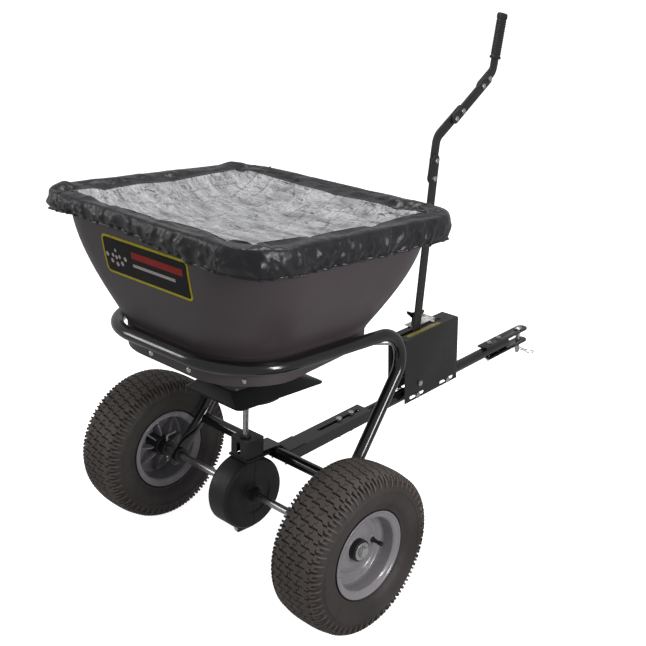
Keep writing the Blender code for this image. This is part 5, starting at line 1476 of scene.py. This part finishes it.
def make_gearbox():
    """Two halves of the round gear housing, bolted at a boss below, and its bushings."""
    outline = [
        (0.078, 0.0225), (0.0735, 0.029), (0.045, 0.029), (0.043, 0.0272), (0.024, 0.0272),
        (0.022, 0.029), (0.0165, 0.0305), (0.016, 0.040), (0.0112, 0.040), (0.0112, 0.0255), (0.0745, 0.0255),
    ]
    outline += [(r, -x) for r, x in reversed(outline)]
    outline = [(r, x, 0) for r, x in outline]
    for name, front in (("rear", False), ("front", True)):
        shell = half_of(turned([(p.x, p.y) for p in rounded_loop(outline, 0.0012)], True, 96), front)
        bevel_sharp(shell, 0.0005)
        node = f"gearbox_housing_{name}"
        shell = piece(
            f"gear_case_{name}", shell, BLACK_PLASTIC, "frame", PITCHED @ AIM["x"], [node]
        )
        hole = turned([(0.0075, 0.060), (0.0075, 0.095)], False)
        drill(shell, hole, PITCHED)
        sign = 1 if front else -1
        inner_end, outer_end = 0.0004, CASE_BOSS_DEPTH
        boss_profile = [
            (CASE_BOSS_RADIUS, inner_end), (CASE_BOSS_RADIUS, outer_end - 0.001),
            (CASE_BOSS_RADIUS - 0.001, outer_end), (0.0002, outer_end), (0.0002, inner_end),
        ]
        boss = turned(boss_profile, False)
        spot = at((0, 0, -CASE_BOSS_DROP), "y" if front else "-y", PITCHED)
        piece(f"gear_case_boss_{name}", boss, BLACK_PLASTIC, "frame", spot)
        head = hex_head(0.010, 0.004)
        spot = at((0, sign * CASE_BOSS_DEPTH, -CASE_BOSS_DROP), "y" if front else "-y", PITCHED)
        piece(f"gear_case_screw_{name}", head, ZINC, "frame", spot)
    for side, aim in (("left", "-x"), ("right", "x")):
        outline = [
            (BUSHING_BORE, 0.027, 0), (BUSHING_RADIUS, 0.027, 0), (BUSHING_RADIUS, 0.0404, 0),
            (BUSHING_FLANGE, 0.0404, 0), (BUSHING_FLANGE, 0.0434, 0), (BUSHING_BORE, 0.0434, 0),
        ]
        bush = ring_of(outline, 0.0004)
        place = at((0, 0, 0), aim, PITCHED)
        piece(
            f"case_bushing_{side}", bush, NYLON_BUSH, "frame", place,
            [f"gearbox_bushing_{side}"]
        )


def make_impeller():
    """Shaft, ribbed disc, agitator wire and the shaft's bushing."""
    body, slot = "spreading_shaft", "bright_steel"
    shaft = turned([(0.0052, 0.040), (0.006, 0.0408), (0.006, 0.3342), (0.0052, 0.335)], False, 40)
    piece("impeller_shaft_round", shaft, STEEL, body, PITCHED, ["impeller_shaft"])
    outline = [
        (0.0064, 0.216, 0), (0.012, 0.216, 0), (0.013, 0.2215, 0), (0.072, 0.2215, 0), (0.074, 0.2200, 0),
        (0.074, 0.2250, 0), (0.0135, 0.2250, 0), (0.012, 0.242, 0), (0.0064, 0.242, 0),
    ]
    disc = turned([(p.x, p.y) for p in rounded_loop(outline, 0.0007)], True, 96)
    vanes = [disc]
    for k in range(IMPELLER_VANES):
        flat = [(0.0110, 0.2248), (0.0700, 0.2248), (0.0700, 0.2335), (0.0660, 0.2360), (0.0110, 0.2360)]
        vane = plate(flat, [], -0.0012, 0.0012, 0.0004)
        vane.transform(Matrix.Rotation(math.pi / 2, 4, "X"))
        vane.transform(Matrix.Rotation(2 * math.pi * (k + 0.25) / IMPELLER_VANES, 4, "Z"))
        vanes.append(vane)
    piece("impeller_disc", join(vanes), BLACK_PLASTIC, body, PITCHED, ["impeller"])
    reach = AGITATOR_REACH
    corners = [(-reach, 0, 0.336), (-reach, 0, 0.322), (reach, 0, 0.322), (reach, 0, 0.336)]
    wire = tube(rounded_path(corners, [0.006, 0.006], 12), AGITATOR_WIRE, (0, 1, 0), 24)
    piece("agitator_wire", wire, ZINC, body, PITCHED, ["agitator"])
    outline = [(0.0064, 0.113, 0), (0.0082, 0.113, 0), (0.0082, 0.1214, 0), (0.0112, 0.1214, 0)]
    outline += [(0.0112, 0.125, 0), (0.0064, 0.125, 0)]
    bush = ring_of(outline, 0.0004)
    piece("upper_bushing", bush, NYLON_BUSH, "frame", PITCHED, ["shaft_bushing"])


# -------------------------------------------------------------------------------------- drawbar
def make_drawbar():
    """The strap, slotted channel, tube and hitch straps, with their bolts."""
    low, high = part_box("drawbar_tube")
    radius = (high.x - low.x) / 2 + 0.0002
    bore = radius - 0.0022
    middle = (low + high) / 2
    length = high.y - low.y
    outline = [(bore, 0, 0), (radius, 0, 0), (radius, length, 0), (bore, length, 0)]
    place = at((0, low.y, middle.z), "y")
    piece(
        "drawbar_round", ring_of(outline, 0.0006), GLOSS_BLACK, "frame", place,
        ["drawbar_tube"]
    )

    keep_cad("drawbar_strap", GLOSS_BLACK)
    keep_cad("drawbar_channel", GLOSS_BLACK, 0.0008)

    for name in ("channel_bolt_rear", "channel_bolt_front", "hitch_bolt_rear", "hitch_bolt_front"):
        low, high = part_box(name)
        nut_face = low.z + 0.004 + 0.0065
        grip = high.z - 0.0055 - nut_face
        place = at(((low.x + high.x) / 2, (low.y + high.y) / 2, nut_face))
        body = bolt(0.013, 0.0055, 0.004, grip, 0.0065)
        piece(f"{name}_hex", body, ZINC, "frame", place, [name])

    pin_low, pin_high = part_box("hitch_pin")
    pin_y = (pin_low.y + pin_high.y) / 2
    bolts = [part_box(f"hitch_bolt_{end}") for end in ("rear", "front")]
    for name in ("top", "bottom"):
        low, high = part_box(f"hitch_strap_{name}")
        half = (high.x - low.x) / 2
        nose = high.y - half
        outline = [(-half, low.y), (half, low.y)]
        outline += [
            (half * math.cos(math.pi * k / 32), nose + half * math.sin(math.pi * k / 32)) for k in range(33)
        ]
        holes = [[p.xy for p in circle(BOLT_HOLE, 0, 32, (0, (a.y + b.y) / 2))] for a, b in bolts]
        holes.append([p.xy for p in circle(PIN_HOLE, 0, 40, (0, pin_y))])
        strap = plate(outline, holes, low.z, high.z)
        piece(
            f"hitch_strap_{name}_flat", strap, GLOSS_BLACK, "frame", None,
            [f"hitch_strap_{name}"]
        )

    seat = pin_high.z - 0.007
    profile = [
        (0.0030, pin_low.z), (PIN_RADIUS, pin_low.z + 0.0040), (PIN_RADIUS, seat - 0.0002), (0.0105, seat),
        (0.0110, seat + 0.0008),
        (0.0110, seat + 0.0024), (0.0098, seat + 0.0042), (0.0070, seat + 0.0060), (0.0030, seat + 0.0069),
        (0.0002, seat + 0.0070),
    ]
    pin = piece(
        "hitch_pin_round", turned(profile, False), ZINC, "pin", at((0, pin_y, 0)), ["hitch_pin"]
    )
    clip_low, clip_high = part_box("hairpin_clip")
    height = (clip_low.z + clip_high.z) / 2
    drill(pin, turned([(CLIP_HOLE, -0.02), (CLIP_HOLE, 0.02)], False, 24), at((0, pin_y, height), "x"))

    beside = PIN_RADIUS + CLIP_WIRE + 0.0012
    corners = [Vector((-0.020, 0, 0)), Vector((0.028, 0, 0))]
    for k in range(25):
        angle = math.radians(-125 + 250 * k / 24)
        along = CLIP_BOW_CENTRE + CLIP_BOW * math.cos(angle)
        corners.append(Vector((along, beside / 2 + CLIP_BOW * math.sin(angle), 0)))
    corners += [
        Vector((0.028, beside, 0)), Vector((0.012, beside - 0.001, 0)), Vector((0.005, beside + 0.002, 0))
    ]
    corners += [
        Vector((-0.005, beside + 0.002, 0)), Vector((-0.012, beside, 0)),
        Vector((-0.018, beside + 0.003, 0))
    ]
    wire = tube(corners, CLIP_WIRE, (0, 0, 1), 14)
    piece("hairpin_clip_wire", wire, STEEL, "clip", at((0, pin_y, height)), ["hairpin_clip"])


# --------------------------------------------------------------------------------- flow control
def make_box():
    """The folded control box with its slots, bolts and a printed scale."""
    low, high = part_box("control_box")
    half = (high.x - low.x) / 2
    wall = BOX_SHEET
    bend = BOX_BEND
    top = high.z
    outer = rounded_path(
        [(-half, low.z, 0), (-half, top, 0), (half, top, 0), (half, low.z, 0)], [bend, bend], 10
    )
    inner = rounded_path(
        [
            (half - wall, low.z, 0), (half - wall, top - wall, 0), (-half + wall, top - wall, 0),
            (-half + wall, low.z, 0)
        ],
        [bend - wall, bend - wall], 10,
    )
    mesh = plate([(p.x, p.y) for p in outer + inner], [], -high.y, -low.y, 0.0004)
    mesh.transform(Matrix.Rotation(math.pi / 2, 4, "X"))
    box = piece("control_box_folded", mesh, SATIN_BLACK, "frame", None, ["control_box"])
    slots = ((0, LEVER_SLOT, LEVER_SLOT_HALF), (STOP_SLOT_X, STOP_SLOT, STOP_SLOT_HALF))
    for x, ends, half_width in slots:
        slot_mesh = plate(
            stadium(
                (x, ends[0] + half_width), (x, ends[1] - half_width), half_width
            ), [], top - 0.01, top + 0.01, 0
        )
        drill(box, slot_mesh, LEVEL)
    for along in SIDE_SLOTS:
        slot_ends = [(along + side * SIDE_SLOT_HALF_LENGTH, SIDE_SLOT_HEIGHT) for side in (-1, 1)]
        slot_mesh = plate(stadium(*slot_ends, SIDE_SLOT_HALF), [], -0.04, 0.04, 0)
        drill(box, slot_mesh, LEVEL @ UPRIGHT)

    for name in ("box_bolt_rear", "box_bolt_front", "lever_pivot_bolt"):
        bolt_low, bolt_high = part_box(name)
        centre = (bolt_low + bolt_high) / 2
        grip = 2 * half + 0.0008
        place = at((-grip / 2, centre.y, centre.z), "x")
        piece(f"{name}_hex", bolt(0.013, 0.0055, 0.004, grip, 0.0065), ZINC, "frame", place, [name])

    start, end = SCALE_ENDS
    inner_side, outer_side = SCALE_SIDES
    corners = [(inner_side, start), (outer_side, start), (outer_side, end), (inner_side, end)]
    strip = plate(corners, [], top, top + 0.0003, 0)
    piece("scale_strip", strip, SCALE_PRINT, "frame", LEVEL)
    ticks = []
    for k in range(SCALE_TICKS + 1):
        along = start + 0.004 + (end - start - 0.008) * k / SCALE_TICKS
        inner_x = 0.0115 if k % 5 == 0 else 0.0150
        near, far = along - TICK_HALF, along + TICK_HALF
        mark = [(inner_x, near), (0.0205, near), (0.0205, far), (inner_x, far)]
        ticks.append(plate(mark, [], top + 0.0002, top + 0.0004, 0))
    piece("scale_ticks", join(ticks), DECAL_BLACK, "frame", LEVEL)


def bar_outline(path, half_width, end_steps=16):
    """The outline of a flat bar with round ends along a flat middle line."""
    path = [Vector(p) for p in path]
    left, right = [], []
    for k, point in enumerate(path):
        before = path[max(k - 1, 0)]
        after = path[min(k + 1, len(path) - 1)]
        along = (after - before).normalized()
        across = Vector((-along.y, along.x)) * half_width
        left.append(point + across)
        right.append(point - across)
    caps = []
    for point, neighbour in ((path[-1], path[-2]), (path[0], path[1])):
        along = (point - neighbour).normalized()
        across = Vector((along.y, -along.x))
        turns = [math.pi * k / end_steps for k in range(1, end_steps)]
        caps.append([point + half_width * (across * math.cos(a) + along * math.sin(a)) for a in turns])
    return right + caps[0] + left[::-1] + caps[1]


def make_lever():
    """Four lapped bars, the bolts that join them, and the grip."""
    pivot = Vector(joint("lever_swing")["pos_m"])
    origin = Vector(LEVER_PIVOT)
    joint_a, joint_b, joint_c = [(Vector(low), Vector(high)) for low, high in LEVER_JOINTS]
    bend_low = Vector(LEVER_MIDDLE_BEND)
    bend_high = Vector(LEVER_HANDLE_BEND)
    top = Vector(LEVER_TOP)
    lap = LEVER_LAP
    lower_end = joint_a[1] + (joint_a[1] - joint_a[0]).normalized() * 0.0015
    bars = {
        "lower": ([origin, lower_end], 0.0),
        "middle": (rounded_path([joint_a[0], bend_low, joint_b[1]], [0.030], 5), -lap),
        "link": ([joint_b[0], joint_c[1]], 0.0),
        "handle": (rounded_path([joint_c[0], bend_high, top], [0.025], 5), -lap),
    }
    for name, (path, side) in bars.items():
        path = [Vector(p) - origin for p in path]
        holes = [[p.xy for p in circle(BOLT_HOLE, 0, 32)]] if name == "lower" else []
        outline = bar_outline(path, BAR_HALF_WIDTH)
        mesh = plate(outline, holes, -BAR_HALF_THICKNESS, BAR_HALF_THICKNESS, 0.0005)
        place = Matrix.Translation(pivot + Vector((side, 0, 0))) @ UPRIGHT
        piece(f"lever_bar_{name}", mesh, SATIN_BLACK, "lever", place, [f"lever_{name}_bar"])

    for letter, pair in (("a", joint_a), ("b", joint_b), ("c", joint_c)):
        for number, spot in enumerate(pair):
            offset = Vector((0, spot.x - origin.x, spot.y - origin.y))
            head_place = Matrix.Translation(pivot + offset + Vector((BAR_HALF_THICKNESS, 0, 0))) @ AIM["x"]
            piece(f"joint_bolt_{letter}_{number}", hex_head(0.011, 0.0045), ZINC, "lever", head_place)
            nut_seat = Vector((-lap - BAR_HALF_THICKNESS, 0, 0))
            nut_place = Matrix.Translation(pivot + offset + nut_seat) @ AIM["-x"]
            nut = join([
                hex_head(0.011, 0.0055),
                turned([(0.003, 0.0050), (0.003, 0.0080), (0.0024, 0.0086)], False, 24),
            ])
            piece(f"joint_nut_{letter}_{number}", nut, ZINC, "lever", nut_place)

    direction = top - bend_high
    lean = math.atan2(direction.x, direction.y)
    end = top + direction.normalized() * 0.0129 - origin
    place = Matrix.Translation(pivot + Vector((-lap, end.x, end.y))) @ Matrix.Rotation(-lean, 4, "X")
    piece("grip", grip_mesh(), GRIP_VINYL, "lever", place, ["handle_grip"])


def grip_mesh():
    """A moulded sleeve with finger ribs, a flange below and a domed end."""
    hollow = (0.0029, 0.0129)
    wall, length = 0.0035, 0.100
    levels = [
        (-length, wall), (-length + 0.001, wall + 0.0004), (-length + 0.005, wall + 0.0004),
        (-length + 0.007, wall * 0.7)
    ]
    ribs = 15
    for k in range(ribs):
        base = -length + 0.010 + k * 0.0052
        levels += [
            (base, wall * 0.62), (base + 0.0012, wall * 0.86), (base + 0.0030, wall * 0.86),
            (base + 0.0042, wall * 0.62)
        ]
    levels += [(-0.010, wall * 0.7), (-0.008, wall * 0.95), (-0.002, wall * 0.95)]
    rings = [
        rounded_rectangle(hollow, 0.001, -0.002, steps=6, runs=2),
        rounded_rectangle(hollow, 0.001, -length, steps=6, runs=2),
    ]
    for height, skin in levels:
        size = [half + skin for half in hollow]
        rings.append(rounded_rectangle(size, 0.0045, height, steps=6, runs=2))
    for height, inset in ((0.0012, 0.0004), (0.0028, 0.0014), (0.0037, 0.0030)):
        size = [half + wall * 0.95 - inset for half in hollow]
        rings.append(rounded_rectangle(size, 0.0045 - inset / 2, height, steps=6, runs=2))
    return loft(rings, False)


def make_stop():
    """The sliding stop and the wing knob that clamps it."""
    keep_cad("lever_stop", ZINC, 0.0004)
    knob_joint = joint("knob_turn")
    centre = Vector(knob_joint["pos_m"])
    low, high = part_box("stop_knob")
    turn = Matrix.Translation((centre.x, centre.y, 0)) @ Matrix.Rotation(KNOB_TURN, 4, "Z")
    seat = high.z - 0.392 + 0.3566
    body_top, top = high.z - 0.010, high.z
    profile = [
        (0.0060, low.z), (KNOB_STEM, low.z + 0.0006), (KNOB_STEM, 0.3518), (0.0030, 0.3518), (0.0030, seat),
        (0.0096, seat),
        (0.0100, seat + 0.0006), (0.0098, seat + 0.006), (0.0085, body_top - 0.006),
        (0.0072, body_top - 0.0008), (0.0064, body_top),
    ]
    body = turned(profile, False, 48)
    span = KNOB_WING_SPAN
    wing = [
        (-0.0060, body_top - 0.012), (0.0060, body_top - 0.012), (span - 0.001, top - 0.0065),
        (span, top - 0.003),
        (span - 0.0025, top), (0.0090, top - 0.0050), (-0.0090, top - 0.0050), (-span + 0.0025, top),
        (-span, top - 0.003),
        (-span + 0.001, top - 0.0065),
    ]
    flat = [(p.x, p.y) for p in rounded_loop([(a, u, 0) for a, u in wing], 0.0018)]
    wings = plate(flat, [], -KNOB_WING_HALF, KNOB_WING_HALF, 0.0010)
    wings.transform(UPRIGHT)
    piece("wing_knob", join([body, wings]), BLACK_PLASTIC, "knob", turn, ["stop_knob"])


# ---------------------------------------------------------------------------------------- stage
def aim_light(thing, target):
    """Turns a light to face a point."""
    thing.rotation_euler = (Vector(target) - thing.location).to_track_quat("-Z", "Y").to_euler()


def area_light(name, place, target, size, power, colour=(1, 1, 1)):
    """A soft rectangular light."""
    data = bpy.data.lights.new(name, "AREA")
    data.shape = "RECTANGLE"
    data.size, data.size_y = size
    data.energy = power
    data.color = colour
    thing = bpy.data.objects.new(name, data)
    thing.location = place
    bpy.context.scene.collection.objects.link(thing)
    aim_light(thing, target)
    return thing


def make_stage():
    """A pale floor, a pale surround and soft studio lights."""
    mesh = bmesh.new()
    bmesh.ops.create_grid(mesh, x_segments=2, y_segments=2, size=FLOOR_HALF)
    data = bpy.data.meshes.new("floor")
    mesh.to_mesh(data)
    mesh.free()
    material, tree, shader, where = nodes_of("floor_paper")
    broad = noise_node(tree, where, 0.8, 3.0)
    tree.links.new(
        blend_colour(tree, broad, (0.86, 0.86, 0.86), (0.90, 0.90, 0.90)), shader.inputs["Base Color"]
    )
    shader.inputs["Roughness"].default_value = 0.9
    shader.inputs["Emission Color"].default_value = (1, 1, 1, 1)
    shader.inputs["Emission Strength"].default_value = FLOOR_GLOW
    data.materials.append(material)
    floor = bpy.data.objects.new("floor", data)
    floor.visible_diffuse = False
    floor.visible_glossy = False
    bpy.context.scene.collection.objects.link(floor)

    world = bpy.data.worlds.new("studio")
    world.use_nodes = True
    surround = world.node_tree.nodes["Background"]
    surround.inputs["Color"].default_value = (1, 1, 1, 1)
    surround.inputs["Strength"].default_value = SURROUND_LIGHT
    bpy.context.scene.world = world
    bpy.context.scene.view_settings.view_transform = "Standard"
    for name, place, size, power in STUDIO_LIGHTS:
        area_light(name, place, LIGHT_TARGET, size, power)


def make_camera():
    """The viewpoint: behind, to the right and above."""
    data = bpy.data.cameras.new("camera")
    data.lens = CAMERA_LENS
    data.sensor_width = 36.0
    data.shift_x, data.shift_y = CAMERA_SHIFT
    camera = bpy.data.objects.new("camera", data)
    turn = Matrix.Rotation(CAMERA_AZIMUTH, 4, "Z") @ Matrix.Rotation(math.pi / 2 - CAMERA_ELEVATION, 4, "X")
    camera.matrix_world = Matrix.Translation(CAMERA_PLACE) @ turn @ Matrix.Rotation(CAMERA_ROLL, 4, "Z")
    bpy.context.scene.collection.objects.link(camera)
    bpy.context.scene.camera = camera


# ---------------------------------------------------------------------------------------- build
def build():
    """Puts the machine and its stage together."""
    make_wheel("left", "-x", -1, "drive_axle", "drive_axle")
    make_wheel("right", "x", 1, "drive_axle", "right_wheel")
    make_axle()
    make_frame()
    make_hopper()
    make_panel()
    make_cover()
    make_hood()
    make_rod()
    make_gearbox()
    make_impeller()
    for node in ("ring_gear", "pinion"):
        keep_cad(node, STEEL, 0.0003)
    for node in ("shutter_guide", "shutter_plate"):
        keep_cad(node, SATIN_BLACK)
    keep_cad("gearbox_bracket", SATIN_BLACK, 0.0008)
    make_drawbar()
    make_box()
    make_lever()
    make_stop()
    make_stage()
    make_camera()


build()
